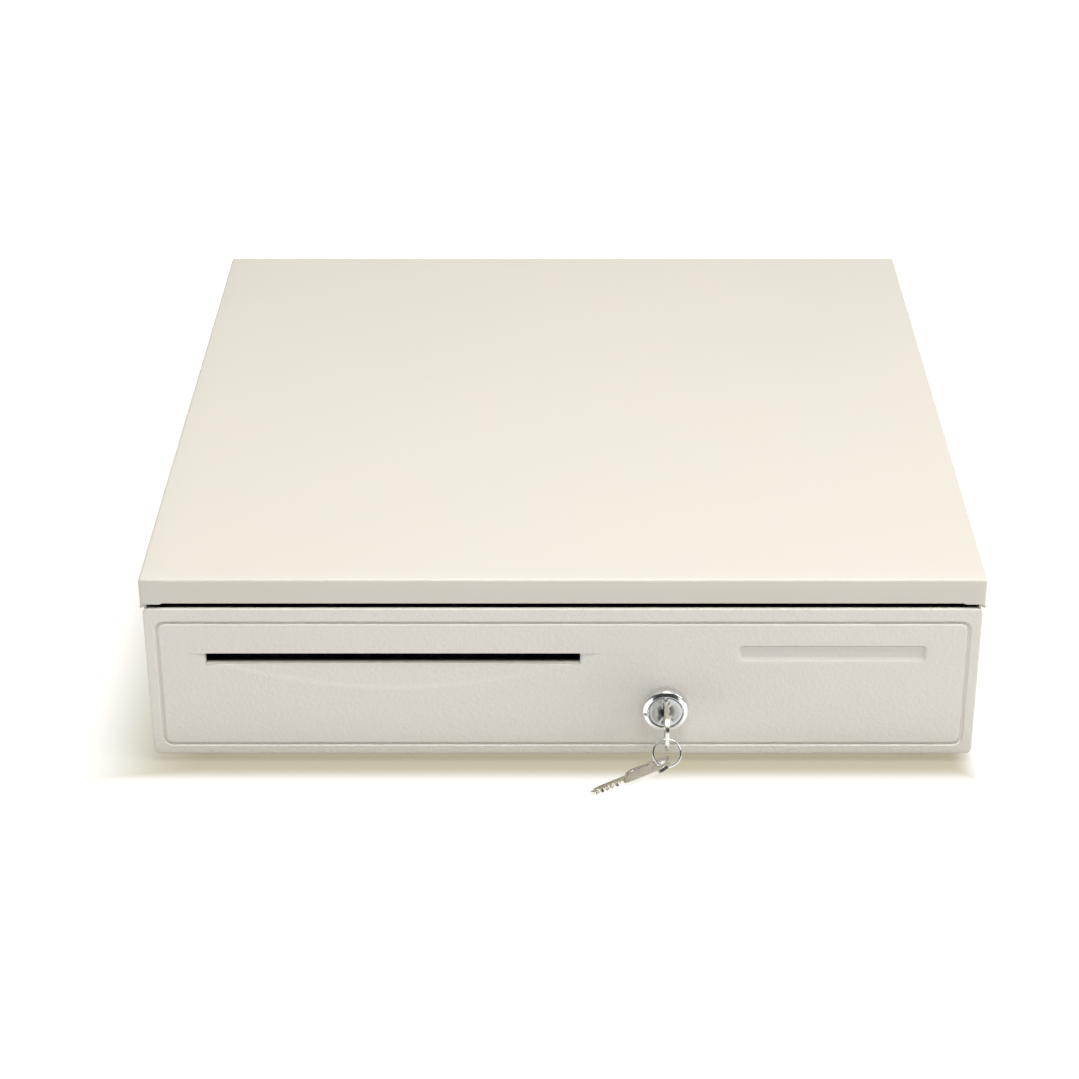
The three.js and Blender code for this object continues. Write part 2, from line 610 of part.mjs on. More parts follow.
// The kick-out spring: a compressed coil between the bracket post and the pan.
const SPRING_TURNS = 5;
class Helix extends THREE.Curve {
  getPoint(t, target = new THREE.Vector3()) {
    const angle = t * SPRING_TURNS * 2 * Math.PI;
    return target.set(6 * Math.cos(angle), t * (BACK_Y - 8 - PAN_BACK - 4), 6 * Math.sin(angle));
  }
}
function ejectSpring() {
  const wire = new THREE.Shape();
  wire.absarc(0, 0, 0.7, 0, 2 * Math.PI, false);
  const steps = SPRING_TURNS * 8;
  return toSolid(new THREE.ExtrudeGeometry(wire, { steps, extrudePath: new Helix(), curveSegments: 3 }));
}

function springPost() {
  const plate = box(44, 76, BACK_Y - 7, BACK_Y - 5.4, SHEET + 0.2, 52);
  const sole = box(44, 76, BACK_Y - 20, BACK_Y - 5.4, SHEET + 0.2, SHEET + 1.8);
  return plate.add(sole).add(rodY(60, 40, 4.4, PAN_BACK + 12, BACK_Y - 6, 16));
}

function microswitch() {
  const body = box(-30, -21, 168, 188, 44, 54);
  return body.add(box(-26, -25, 156, 170, 52, 53)).add(box(-28, -23, 170, 186, SHEET + 0.2, 45));
}

// Socket for the till cable, set in the rear wall.
function jackSocket() {
  const body = box(112.5, 129.5, BACK_Y - 18, BACK_Y + 0.6, 18.5, 33.5);
  const flange = box(110, 132, BACK_Y - 2.9, BACK_Y - 1.5, 16.5, 35.5);
  return body.add(flange).subtract(box(115.5, 126.5, BACK_Y - 12, BACK_Y + 1, 21, 30));
}

part("striker", striker(), zincSteel());
part("latch_bracket", latchBracket(), zincSteel());
part("latch_lever", latchLever(), zincSteel()).position.set(0, LATCH_Y, LATCH_Z);
part("solenoid_frame", solenoidFrame(), zincSteel());
part("solenoid_coil", solenoidCoil(), copperCoil());
part("solenoid_plunger", solenoidPlunger(), springSteel());
part("spring_post", springPost(), zincSteel());
part("eject_spring", ejectSpring(), springSteel()).position.set(60, PAN_BACK + 2, 40);
part("microswitch", microswitch(), blackPlastic());
part("jack_socket", jackSocket(), blackPlastic());

// ---- lock ----
function lockHousing() {
  const bezel = rodY(LOCK_X, LOCK_Z, LOCK_BEZEL_R, PLUG_FACE_Y + 1, FRONT_Y - 0.2, 32);
  const collar = rodY(LOCK_X, LOCK_Z, LOCK_BEZEL_R - 1.6, PLUG_FACE_Y, PLUG_FACE_Y + 2, 32);
  const barrel = rodY(LOCK_X, LOCK_Z, LOCK_BODY_R, FRONT_Y - 1, CAM_Y - 0.6, 32);
  const bore = rodY(LOCK_X, LOCK_Z, PLUG_R + 0.06, PLUG_FACE_Y + 3, CAM_Y, 32);
  const mouth = rodY(LOCK_X, LOCK_Z, PLUG_FACE_R + 0.06, PLUG_FACE_Y - 1, PLUG_FACE_Y + 4.2, 32);
  return bezel.add(collar).add(barrel).subtract(bore).subtract(mouth);
}

function lockNut() {
  const y0 = PAN_FRONT_Y + PAN_SHEET + 0.1;
  const nut = rodY(LOCK_X, LOCK_Z, 12.5, y0, y0 + 3, 6);
  return nut.subtract(rodY(LOCK_X, LOCK_Z, LOCK_BODY_R + 0.1, y0 - 1, y0 + 4, 32));
}

function lockPlug() {
  const face = rodY(0, 0, PLUG_FACE_R, PLUG_FACE_Y + 0.3, PLUG_FACE_Y + 4, 32);
  const body = rodY(0, 0, PLUG_R, PLUG_FACE_Y + 3, CAM_Y - 0.3, 32);
  const tang = box(-3, 3, CAM_Y - 2, CAM_Y + CAM_THICK, -3, 3);
  const keywayHalf = BLADE_W / 2 + CLEAR;
  const keyway = box(-1.2, 1.2, PLUG_FACE_Y - 1, PLUG_FACE_Y + 18.9, -keywayHalf, keywayHalf);
  const tapped = rodY(0, 0, 1.3, CAM_Y - 1, CAM_Y + CAM_THICK + 1, 12);
  return face.add(body).add(tang).subtract(keyway).subtract(tapped);
}

function lockCam() {
  const hub = rodY(0, 0, 6, CAM_Y, CAM_Y + CAM_THICK, 24);
  const arm = box(0, CAM_REACH, CAM_Y, CAM_Y + CAM_THICK, -4.5, 4.5);
  return hub.add(arm).subtract(box(-3.1, 3.1, CAM_Y - 1, CAM_Y + CAM_THICK + 1, -3.1, 3.1));
}

// Angle welded to the base plate: the cam turns down behind its upright leg.
const KEEPER_HALF = 8;
const KEEPER_SHEET = 1.2;
const KEEPER_BACK_Y = CAM_Y - 0.7;
const KEEPER_FOOT = 4.5;
function lockKeeper() {
  const x = [LOCK_X - KEEPER_HALF, LOCK_X + KEEPER_HALF];
  const z0 = SHEET + 0.2;
  const upright = box(...x, KEEPER_BACK_Y - KEEPER_SHEET, KEEPER_BACK_Y, z0, PAN_FLOOR - 0.6);
  return upright.add(box(...x, KEEPER_BACK_Y - KEEPER_FOOT, KEEPER_BACK_Y, z0, z0 + KEEPER_SHEET));
}

function camScrew() {
  const y = CAM_Y + CAM_THICK;
  return rodY(0, 0, 5, y + 0.1, y + 1.6, 20).add(rodY(0, 0, 1.2, y - 2.4, y + 1, 12));
}

part("lock_keeper", lockKeeper(), zincSteel());
part("lock_housing", lockHousing(), chrome());
part("lock_nut", lockNut(), zincSteel());
const lockGroup = new THREE.Group();
lockGroup.position.set(LOCK_X, 0, LOCK_Z);
drawer.add(lockGroup);
part("lock_plug", lockPlug(), chrome(), lockGroup);
part("lock_cam", lockCam(), zincSteel(), lockGroup);
part("cam_screw", camScrew(), zincSteel(), lockGroup);

// ---- keys and ring ----
// A flat key in its own (length, width) plane: blade tip at 0, bow end at KEY_LENGTH.
const SLOT_AT = KEY_LENGTH - 5.3;
function keyShape() {
  const b = BLADE_W / 2;
  const w = BOW_W / 2;
  const shoulder = KEY_LENGTH - BOW_LENGTH;
  const shape = new THREE.Shape();
  shape.moveTo(0, -1);
  shape.lineTo(2.4, -b);
  shape.lineTo(shoulder, -b);
  shape.lineTo(shoulder + 1, -w + 3);
  shape.lineTo(shoulder + 5, -w);
  shape.lineTo(KEY_LENGTH - 5, -w);
  shape.absarc(KEY_LENGTH - 5, -w + 5, 5, -Math.PI / 2, 0, false);
  shape.lineTo(KEY_LENGTH, w - 5);
  shape.absarc(KEY_LENGTH - 5, w - 5, 5, 0, Math.PI / 2, false);
  shape.lineTo(shoulder + 5, w);
  shape.lineTo(shoulder + 1, w - 3);
  shape.lineTo(shoulder, b);
  const cuts = 5;
  for (let i = cuts; i > 0; i -= 1) {
    const at = 2.4 + ((shoulder - 4.4) * i) / cuts;
    shape.lineTo(at, b);
    shape.lineTo(at - 1.2, b - 0.8 - 0.5 * (i % 3));
  }
  shape.lineTo(2.4, b);
  shape.lineTo(0, 1);
  return shape;
}
// The hole in the bow is wide enough for the ring to stay upright while the key turns.
const HOLE_DEEP = 6;
const HOLE_LOW = -3.4;
const HOLE_HIGH = 2.8;
function keySolid() {
  const plate = prismX(keyShape(), -KEY_THICK / 2, KEY_THICK / 2, 5);
  const middle = SLOT_AT + 0.4;
  const hole = roundedRect(middle - HOLE_DEEP / 2, middle + HOLE_DEEP / 2, HOLE_LOW, HOLE_HIGH, 2.6);
  return plate.subtract(prismX(hole, -2, 2, 4));
}

// The key in the lock stands in the vertical plane, tip to the rear.
const key = part("key", keySolid(), nickelBrass());
key.position.set(LOCK_X, FRONT_Y - KEY_END + KEY_LENGTH, LOCK_Z);
key.rotation.z = Math.PI;

function ringSolid() {
  const geometry = new THREE.TorusGeometry(RING_R, WIRE_R, 6, 36);
  return toSolid(geometry);
}
const tilt = THREE.MathUtils.degToRad(RING_TILT);
const ringCentre = new THREE.Vector3(
  LOCK_X,
  HOLE_Y - RING_R * Math.sin(tilt),
  LOCK_Z - RING_DROP - RING_R * Math.cos(tilt),
);
const ring = part("key_ring", ringSolid(), chrome());
ring.position.copy(ringCentre);
ring.rotation.x = Math.PI / 2 - tilt;

// The spare key hangs from the ring's lower left and its tip rests on the counter.
const SPARE_AROUND = THREE.MathUtils.degToRad(150);
const spareHole = new THREE.Vector3(
  ringCentre.x - RING_R * Math.sin(SPARE_AROUND),
  ringCentre.y + RING_R * Math.cos(SPARE_AROUND) * Math.sin(tilt),
  ringCentre.z + RING_R * Math.cos(SPARE_AROUND) * Math.cos(tilt),
);
const slope = Math.asin((spareHole.z + FOOT_H - KEY_THICK / 2) / SLOT_AT);
const along = new THREE.Vector3(Math.cos(slope), 0, Math.sin(slope));
const across = new THREE.Vector3(0, -1, 0);
const faceUp = new THREE.Vector3().crossVectors(along, across);
const spare = part("spare_key", keySolid(), nickelBrass());
spare.quaternion.setFromRotationMatrix(new THREE.Matrix4().makeBasis(faceUp, along, across));
spare.position.copy(spareHole);
spare.position.addScaledVector(along, -SLOT_AT);
spare.position.addScaledVector(across, -(HOLE_LOW + HOLE_HIGH) / 2);

export default drawer;
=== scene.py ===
"""Cash drawer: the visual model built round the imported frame. +Z is up and -Y is the front.

Shapes are worked out in millimetres and kept in metres; materials and the stage are in metres.
"""

import json
import math

import bmesh
import bpy
from mathutils import Matrix, Vector


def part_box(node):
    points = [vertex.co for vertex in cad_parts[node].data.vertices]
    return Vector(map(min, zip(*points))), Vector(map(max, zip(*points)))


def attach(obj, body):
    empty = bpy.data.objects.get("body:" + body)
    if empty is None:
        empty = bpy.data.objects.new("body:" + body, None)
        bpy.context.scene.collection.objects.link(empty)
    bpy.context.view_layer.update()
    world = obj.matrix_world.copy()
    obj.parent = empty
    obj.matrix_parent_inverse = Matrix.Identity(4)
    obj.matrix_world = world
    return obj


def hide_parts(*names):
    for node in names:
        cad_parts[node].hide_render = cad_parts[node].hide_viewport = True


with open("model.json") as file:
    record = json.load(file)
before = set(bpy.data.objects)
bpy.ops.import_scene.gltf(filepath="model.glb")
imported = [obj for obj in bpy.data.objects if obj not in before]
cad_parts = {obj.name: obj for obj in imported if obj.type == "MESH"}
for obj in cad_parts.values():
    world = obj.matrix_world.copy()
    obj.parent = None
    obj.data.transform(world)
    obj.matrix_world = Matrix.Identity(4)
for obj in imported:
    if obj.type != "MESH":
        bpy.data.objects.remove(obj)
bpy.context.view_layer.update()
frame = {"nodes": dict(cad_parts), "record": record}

MM = 0.001
NODES = frame["nodes"]
TWO_PI = 2 * math.pi


# ---- places read from the frame
def low(node):
    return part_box(node)[0] / MM


def high(node):
    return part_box(node)[1] / MM


def ends(node):
    return low(node), high(node)


def middle(node):
    return (low(node) + high(node)) / 2


COVER_LOW, COVER_HIGH = ends("case_cover")
PANEL_LOW, PANEL_HIGH = ends("front_panel")
LOCK = middle("lock_housing")
FLOOR_Z = low("foot_fl").z
SHEET = 1.2  # thickness of the steel


# ---- node materials
class Graph:
    """A small writer for node trees: each call adds a node and returns its main output."""

    def __init__(self, name):
        self.material = bpy.data.materials.new(name)
        self.material.use_nodes = True
        self.tree = self.material.node_tree
        self.shader = self.tree.nodes["Principled BSDF"]
        self.coords = self.node("TexCoord").outputs["Object"]

    def node(self, kind):
        return self.tree.nodes.new("ShaderNode" + kind)

    def feed(self, socket, value):
        """Links or sets one input; a colour gets its alpha here."""
        if isinstance(value, bpy.types.NodeSocket):
            self.tree.links.new(value, socket)
        elif value is not None:
            opaque = socket.type == "RGBA" and isinstance(value, tuple)
            socket.default_value = (*value, 1) if opaque else value

    def noise(self, scale, detail=4.0, rough=0.5, stretch=(1, 1, 1), distortion=0.0):
        place = self.node("Mapping")
        place.inputs["Scale"].default_value = stretch
        self.feed(place.inputs["Vector"], self.coords)
        node = self.node("TexNoise")
        self.feed(node.inputs["Vector"], place.outputs["Vector"])
        node.inputs["Scale"].default_value = scale
        node.inputs["Detail"].default_value = detail
        node.inputs["Roughness"].default_value = rough
        node.inputs["Distortion"].default_value = distortion
        return node.outputs["Fac"]

    def cells(self, scale, feature="F1"):
        node = self.node("TexVoronoi")
        node.feature = feature
        self.feed(node.inputs["Vector"], self.coords)
        node.inputs["Scale"].default_value = scale
        return node.outputs["Distance"]

    def span(self, value, from_low, from_high, to_low, to_high):
        node = self.node("MapRange")
        node.interpolation_type = "SMOOTHSTEP"
        for socket, v in zip(node.inputs[:5], (value, from_low, from_high, to_low, to_high)):
            self.feed(socket, v)
        return node.outputs["Result"]

    def sum(self, a, b, kind="ADD"):
        node = self.node("Math")
        node.operation = kind
        self.feed(node.inputs[0], a)
        self.feed(node.inputs[1], b)
        return node.outputs["Value"]

    def times(self, a, b):
        return self.sum(a, b, "MULTIPLY")

    def split(self, vector):
        """The X, Y and Z outputs of a vector."""
        node = self.node("SeparateXYZ")
        self.feed(node.inputs[0], vector)
        return node.outputs

    def mix(self, factor, a, b):
        node = self.node("Mix")
        node.data_type = "RGBA"
        self.feed(node.inputs["Factor"], factor)
        self.feed(node.inputs[6], a)
        self.feed(node.inputs[7], b)
        return node.outputs[2]

    def bump(self, height, strength, distance, normal=None):
        node = self.node("Bump")
        node.inputs["Strength"].default_value = strength
        node.inputs["Distance"].default_value = distance
        self.feed(node.inputs["Height"], height)
        self.feed(node.inputs["Normal"], normal)
        return node.outputs["Normal"]

    def edges(self, radius):
        """1 on edges that stand proud or run in a corner, 0 on flat and gently curved faces."""
        bevel = self.node("Bevel")
        bevel.samples = 4
        bevel.inputs["Radius"].default_value = radius
        geometry = self.node("NewGeometry")
        dot = self.node("VectorMath")
        dot.operation = "DOT_PRODUCT"
        self.feed(dot.inputs[0], bevel.outputs["Normal"])
        self.feed(dot.inputs[1], geometry.outputs["Normal"])
        return self.span(dot.outputs["Value"], 0.97, 0.80, 0.0, 1.0)

    def slope(self, low_z, high_z):
        """0 to 1 as a face's normal turns from one upward share to another."""
        normal = self.split(self.node("NewGeometry").outputs["Normal"])
        return self.span(normal["Z"], low_z, high_z, 0.0, 1.0)

    def finish(self, color, roughness, metallic=0.0, normal=None, **extra):
        self.feed(self.shader.inputs["Base Color"], color)
        self.feed(self.shader.inputs["Roughness"], roughness)
        self.feed(self.shader.inputs["Metallic"], metallic)
        self.feed(self.shader.inputs["Normal"], normal)
        for key, value in extra.items():
            self.feed(self.shader.inputs[key.replace("_", " ")], value)
        return self.material


def tint(color, factor, lift=0.0):
    """The same colour lighter or darker."""
    return tuple(min(1, c * factor + lift) for c in color)


def powder_coat(name, base, dirt, grain, depth, roughness, painted_slope_light=False):
    """Satin coat with orange peel and rubbed edges; the last switch adds a painted highlight on upward
    slopes and painted shade on downward ones.
    """
    g = Graph(name)
    cloud = g.noise(9, 3, 0.6)
    speck = g.noise(700, 2, 0.5)
    color = g.mix(g.span(cloud, 0.35, 0.7, 0.0, 0.5), base, dirt)
    color = g.mix(g.span(speck, 0.62, 0.8, 0.0, 0.25), color, tint(base, 0.9))
    worn = g.times(g.edges(0.0007), g.span(g.noise(160, 4, 0.6), 0.5, 0.75, 0.0, 1.0))
    color = g.mix(g.times(worn, 0.35), color, tint(base, 1.06))
    # Painted light: a painted highlight on upward-facing slopes and painted shade on downward-facing ones.
    if painted_slope_light:
        color = g.mix(g.slope(0.28, 0.65), color, tint(base, 1.22))
        color = g.mix(g.slope(-0.25, -0.7), color, tint(base, 0.62))
    peel = g.noise(grain, 3, 0.55)
    fine = g.noise(grain * 3.1, 2, 0.5)
    height = g.sum(peel, g.times(fine, 0.35))
    rough = g.sum(g.span(cloud, 0.2, 0.8, roughness - 0.05, roughness + 0.05), g.times(worn, -0.1))
    return g.finish(color, rough, 0.0, g.bump(height, 0.35, depth), Coat_Weight=0.08, Coat_Roughness=0.3)


def moulded(name, base, lighter, grain, depth, roughness, scuffs=0.3):
    """Moulded plastic: eroded grain, uneven gloss, light scuffs on edges."""
    g = Graph(name)
    cloud = g.noise(14, 4, 0.6)
    color = g.mix(g.span(cloud, 0.3, 0.75, 0.0, 0.6), base, lighter)
    rub = g.times(g.edges(0.0006), g.span(g.noise(220, 4, 0.6), 0.45, 0.7, 0.0, 1.0))
    color = g.mix(g.times(rub, scuffs), color, tint(lighter, 1.5, 0.04))
    height = g.sum(g.cells(grain, "SMOOTH_F1"), g.times(g.noise(grain * 1.7, 3, 0.6), 0.7))
    rough = g.span(g.noise(60, 5, 0.6), 0.3, 0.75, roughness - 0.07, roughness + 0.08)
    return g.finish(color, rough, 0.0, g.bump(height, 0.4, depth))


def zinc(name, base=(0.62, 0.635, 0.65), along=(1, 1, 1), roughness=0.34):
    """Zinc plate: rolled streaks, cloudy passivation, dull scratches."""
    g = Graph(name)
    streak = g.noise(260, 3, 0.6, along)
    cloud = g.noise(22, 5, 0.65, distortion=0.4)
    dull = (base[0] * 0.86, base[1] * 0.88, base[2] * 0.93)
    color = g.mix(g.span(cloud, 0.3, 0.75, 0.0, 1.0), base, dull)
    color = g.mix(g.span(streak, 0.45, 0.8, 0.0, 0.35), color, (0.8, 0.8, 0.79))
    scratch = g.noise(900, 2, 0.4, (along[0] * 0.2, along[1] * 2, along[2] * 0.6))
    rough = g.span(streak, 0.3, 0.8, roughness - 0.08, roughness + 0.1)
    rough = g.sum(rough, g.span(cloud, 0.4, 0.7, 0.0, 0.08))
    return g.finish(color, rough, 1.0, g.bump(g.sum(streak, scratch), 0.12, 0.00012))


def chrome(name, base=(0.83, 0.84, 0.85), roughness=0.07):
    """Polished plate: clean mirror with faint handling haze and hairlines."""
    g = Graph(name)
    haze = g.noise(90, 5, 0.65)
    hair = g.noise(1500, 2, 0.5, (0.15, 1, 1))
    color = g.mix(g.span(haze, 0.4, 0.8, 0.0, 0.4), base, tint(base, 0.93))
    rough = g.span(haze, 0.35, 0.8, roughness, roughness + 0.09)
    rough = g.sum(rough, g.span(hair, 0.6, 0.8, 0.0, 0.05))
    return g.finish(color, rough, 1.0, g.bump(hair, 0.04, 0.00002))


def nickel(name, base=(0.80, 0.775, 0.71)):
    """Stamped nickel-plated key: soft tumbling dents, brighter worn edges."""
    g = Graph(name)
    dents = g.noise(420, 4, 0.6)
    cloud = g.noise(70, 4, 0.6)
    color = g.mix(g.span(cloud, 0.35, 0.75, 0.0, 0.7), base, (0.66, 0.63, 0.56))
    color = g.mix(g.times(g.edges(0.0004), 0.6), color, (0.92, 0.9, 0.86))
    rough = g.span(dents, 0.3, 0.75, 0.14, 0.32)
    return g.finish(color, rough, 1.0, g.bump(g.sum(dents, cloud), 0.22, 0.0001))


def wound_tape(name):
    """Winding tape on the coil: turns of amber film with darker overlaps."""
    g = Graph(name)
    turns = g.noise(300, 2, 0.5, (0.05, 0.05, 1.6))
    color = g.mix(g.span(turns, 0.4, 0.62, 0.0, 1.0), (0.46, 0.24, 0.05), (0.62, 0.38, 0.09))
    return g.finish(color, g.span(turns, 0.3, 0.7, 0.2, 0.4), 0.0, g.bump(turns, 0.5, 0.0003))


RECIPES = {
    "cream_paint": (powder_coat, (0.70, 0.665, 0.59), (0.685, 0.645, 0.565), 900, 0.00009, 0.42),
    # The warm moulding's last True turns on the painted highlight on upward slopes and painted shade on
    # downward ones.
    "warm_plastic": (powder_coat, (0.80, 0.765, 0.70), (0.78, 0.735, 0.675), 500, 0.0013, 0.46, True),
    "zinc_steel": (zinc,),
    "chrome": (chrome,),
    "key_nickel": (nickel,),
    "till_plastic": (moulded, (0.022, 0.023, 0.025), (0.032, 0.033, 0.036), 1500, 0.00012, 0.5),
    "clip_plastic": (moulded, (0.03, 0.03, 0.032), (0.045, 0.045, 0.047), 1900, 0.00008, 0.4),
    "rubber": (moulded, (0.018, 0.018, 0.019), (0.03, 0.03, 0.03), 1100, 0.0002, 0.85, 0.1),
    "coil_tape": (wound_tape,),
    "spring_steel": (zinc, (0.5, 0.51, 0.53), (3, 1, 3), 0.25),
    "black_plastic": (moulded, (0.02, 0.02, 0.022), (0.03, 0.03, 0.032), 1700, 0.00008, 0.42),
}
MATERIALS = {name: make(name, *settings) for name, (make, *settings) in RECIPES.items()}


# ---- mesh tools
def ready(obj, body, slot, replaces=(), smooth=30):
    """Smooth shading with hard creases, the slot's material, and a place on its body."""
    obj.data.shade_smooth()
    obj.data.set_sharp_from_angle(angle=math.radians(smooth))
    obj.data.materials.clear()
    obj.data.materials.append(MATERIALS[slot])
    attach(obj, body)
    if replaces:
        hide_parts(*replaces)
    return obj


def link(name, data):
    obj = bpy.data.objects.new(name, data)
    bpy.context.scene.collection.objects.link(obj)
    return obj


def from_bmesh(name, bm, recalc=True):
    """The bmesh is in millimetres; the object is in metres."""
    if recalc:
        bmesh.ops.recalc_face_normals(bm, faces=bm.faces)
    bm.transform(Matrix.Scale(MM, 4))
    mesh = bpy.data.meshes.new(name)
    bm.to_mesh(mesh)
    bm.free()
    return link(name, mesh)


def bake(obj):
    """Turns an object's modifiers into its mesh."""
    bpy.context.view_layer.update()
    mesh = bpy.data.meshes.new_from_object(obj.evaluated_get(bpy.context.evaluated_depsgraph_get()))
    obj.modifiers.clear()
    obj.data = mesh
    return obj


def cut(obj, *cutters, operation="DIFFERENCE"):
    for cutter in cutters:
        modifier = obj.modifiers.new("cut", "BOOLEAN")
        modifier.operation = operation
        modifier.solver = "EXACT"
        modifier.object = cutter
        bake(obj)
        bpy.data.objects.remove(cutter)
    return obj


def soften(obj, width, segments=3, angle=35):
    """Rounded edges, in millimetres."""
    modifier = obj.modifiers.new("soften", "BEVEL")
    modifier.width = width * MM
    modifier.segments = segments
    modifier.limit_method = "ANGLE"
    modifier.angle_limit = math.radians(angle)
    modifier.harden_normals = True
    modifier.use_clamp_overlap = True
    return obj


def join(first, *others):
    """Other objects' meshes move into the first one."""
    bm = bmesh.new()
    for obj in (first, *others):
        piece = bmesh.new()
        piece.from_mesh(obj.data)
        piece.transform(obj.matrix_world)
        temporary = bpy.data.meshes.new("temporary")
        piece.to_mesh(temporary)
        piece.free()
        bm.from_mesh(temporary)
        bpy.data.meshes.remove(temporary)
    bm.to_mesh(first.data)
    bm.free()
    for obj in others:
        bpy.data.objects.remove(obj)
    return first


def lathe(name, profile, centre=(0, 0, 0), axis="Y", segments=96):
    """A closed body of revolution. The profile is (radius, distance along the axis)."""
    bm = bmesh.new()
    rings = []
    for radius, along in profile:
        count = 1 if radius < 1e-6 else segments
        ring = []
        for i in range(count):
            turn = TWO_PI * i / segments
            a, b = radius * math.cos(turn), radius * math.sin(turn)
            spot = {"X": (along, a, b), "Y": (a, along, b), "Z": (a, b, along)}[axis]
            ring.append(bm.verts.new(Vector(spot) + Vector(centre)))
        rings.append(ring)
    closed = profile[0][0] > 1e-6
    pairs = zip(rings, rings[1:] + rings[:1]) if closed else zip(rings, rings[1:])
    for ring, after in pairs:
        for i in range(segments):
            k = (i + 1) % segments
            corners = [ring[i % len(ring)], ring[k % len(ring)]]
            corners += [after[k % len(after)], after[i % len(after)]]
            unique = list(dict.fromkeys(corners))
            if len(unique) > 2:
                bm.faces.new(unique)
    return from_bmesh(name, bm)


def arc(cx, cy, radius, start, end, steps=8):
    """Points of an arc in degrees, as (a, b) pairs."""
    angles = [math.radians(start + (end - start) * i / steps) for i in range(steps + 1)]
    return [(cx + radius * math.cos(a), cy + radius * math.sin(a)) for a in angles]


PLANES = {
    "X": lambda a, b, c: Vector((c, a, b)),
    "Y": lambda a, b, c: Vector((a, c, b)),
    "Z": lambda a, b, c: Vector((a, b, c)),
}


def prism(name, outline, axis, start, end, holes=()):
    """A straight body from a closed outline: (y, z) points for X, (x, z) for Y, (x, y) for Z."""
    bm = bmesh.new()
    place = PLANES[axis]
    loops = [outline, *holes]
    ends = []
    for level in (start, end):
        edges = []
        for loop in loops:
            verts = [bm.verts.new(place(a, b, level)) for a, b in loop]
            edges += [bm.edges.new((v, w)) for v, w in zip(verts, verts[1:] + verts[:1])]
            ends.append(verts)
        bmesh.ops.triangle_fill(bm, use_beauty=True, use_dissolve=False, edges=edges)
    count = len(loops)
    for near, far in zip(ends[:count], ends[count:]):
        for i in range(len(near)):
            k = (i + 1) % len(near)
            bm.faces.new((near[i], near[k], far[k], far[i]))
    bmesh.ops.dissolve_limit(bm, angle_limit=math.radians(0.5), verts=bm.verts, edges=bm.edges)
    return from_bmesh(name, bm)


def block(name, lo, hi):
    outline = [(lo[0], lo[1]), (hi[0], lo[1]), (hi[0], hi[1]), (lo[0], hi[1])]
    return prism(name, outline, "Z", lo[2], hi[2])


def rounded(a0, a1, b0, b1, r, steps=6):
    points = arc(a1 - r, b0 + r, r, -90, 0, steps) + arc(a1 - r, b1 - r, r, 0, 90, steps)
    return points + arc(a0 + r, b1 - r, r, 90, 180, steps) + arc(a0 + r, b0 + r, r, 180, 270, steps)


def centred(x, y, r):
    """A rounded rectangle that reaches x and y from the origin."""
    return rounded(-x, x, -y, y, r)


def thick_path(path, thickness):
    """The outline of a bent strip whose middle line is the path."""
    half = thickness / 2
    sides = ([], [])
    for i, p in enumerate(path):
        before = Vector(path[max(i - 1, 0)])
        after = Vector(path[min(i + 1, len(path) - 1)])
        here = Vector(p)
        d1 = (here - before).normalized() if i else (after - here).normalized()
        d2 = (after - here).normalized() if i < len(path) - 1 else d1
        normal = Vector((-(d1 + d2).y, (d1 + d2).x)).normalized()
        reach = half / max(0.4, normal.dot(Vector((-d1.y, d1.x))))
        sides[0].append(tuple(here + normal * reach))
        sides[1].append(tuple(here - normal * reach))
    return sides[0] + sides[1][::-1]


def tube(name, points, radius, sides=10, closed=False, squash=1.0):
    """A round wire through points, with flat ends unless it is closed."""
    bm = bmesh.new()
    rings = []
    count = len(points)
    up = Vector((0, 0, 1))
    for i, p in enumerate(points):
        ahead = Vector(points[(i + 1) % count if closed else min(i + 1, count - 1)])
        behind = Vector(points[(i - 1) % count if closed else max(i - 1, 0)])
        tangent = (ahead - behind).normalized()
        if abs(tangent.dot(up)) > 0.95:
            up = Vector((1, 0, 0))
        side = tangent.cross(up).normalized()
        up = side.cross(tangent).normalized()
        ring = []
        for k in range(sides):
            turn = TWO_PI * k / sides
            spot = Vector(p) + side * radius * math.cos(turn) + up * radius * squash * math.sin(turn)
            ring.append(bm.verts.new(spot))
        rings.append(ring)
    pairs = list(zip(rings, rings[1:])) + ([(rings[-1], rings[0])] if closed else [])
    for ring, after in pairs:
        for k in range(sides):
            m = (k + 1) % sides
            bm.faces.new((ring[k], ring[m], after[m], after[k]))
    if not closed:
        bm.faces.new(rings[0][::-1])
        bm.faces.new(rings[-1])
    return from_bmesh(name, bm)


def lines(lo, hi, step, fine=()):
    """Grid lines from lo to hi, closer together inside the fine ranges (start, end, step)."""
    marks = sorted({lo, hi, *[m for a, b, _ in fine for m in (a, b) if lo < m < hi]})
    result = [lo]
    for a, b in zip(marks, marks[1:]):
        inside = [s for f0, f1, s in fine if f0 <= a + 1e-9 and b - 1e-9 <= f1]
        count = max(1, math.ceil((b - a) / min([step, *inside]) - 1e-6))
        result += [a + (b - a) * i / count for i in range(1, count + 1)]
    return result


def smoothstep(a, b, value):
    t = min(1.0, max(0.0, (value - a) / (b - a)))
    return t * t * (3 - 2 * t)


def inside_rounded(x, z, x0, x1, z0, z1, r):
    """Distance inward from a rounded rectangle's edge; negative outside."""
    dx = abs(x - (x0 + x1) / 2) - (x1 - x0) / 2 + r
    dz = abs(z - (z0 + z1) / 2) - (z1 - z0) / 2 + r
    return r - math.hypot(max(dx, 0), max(dz, 0)) - min(max(dx, dz), 0)


def quarter(r, distance):
    """How far a rounded edge of radius r has fallen back at this distance from the edge."""
    if distance >= r:
        return 0.0
    return r - math.sqrt(max(0.0, r * r - (r - max(distance, 0.0)) ** 2))


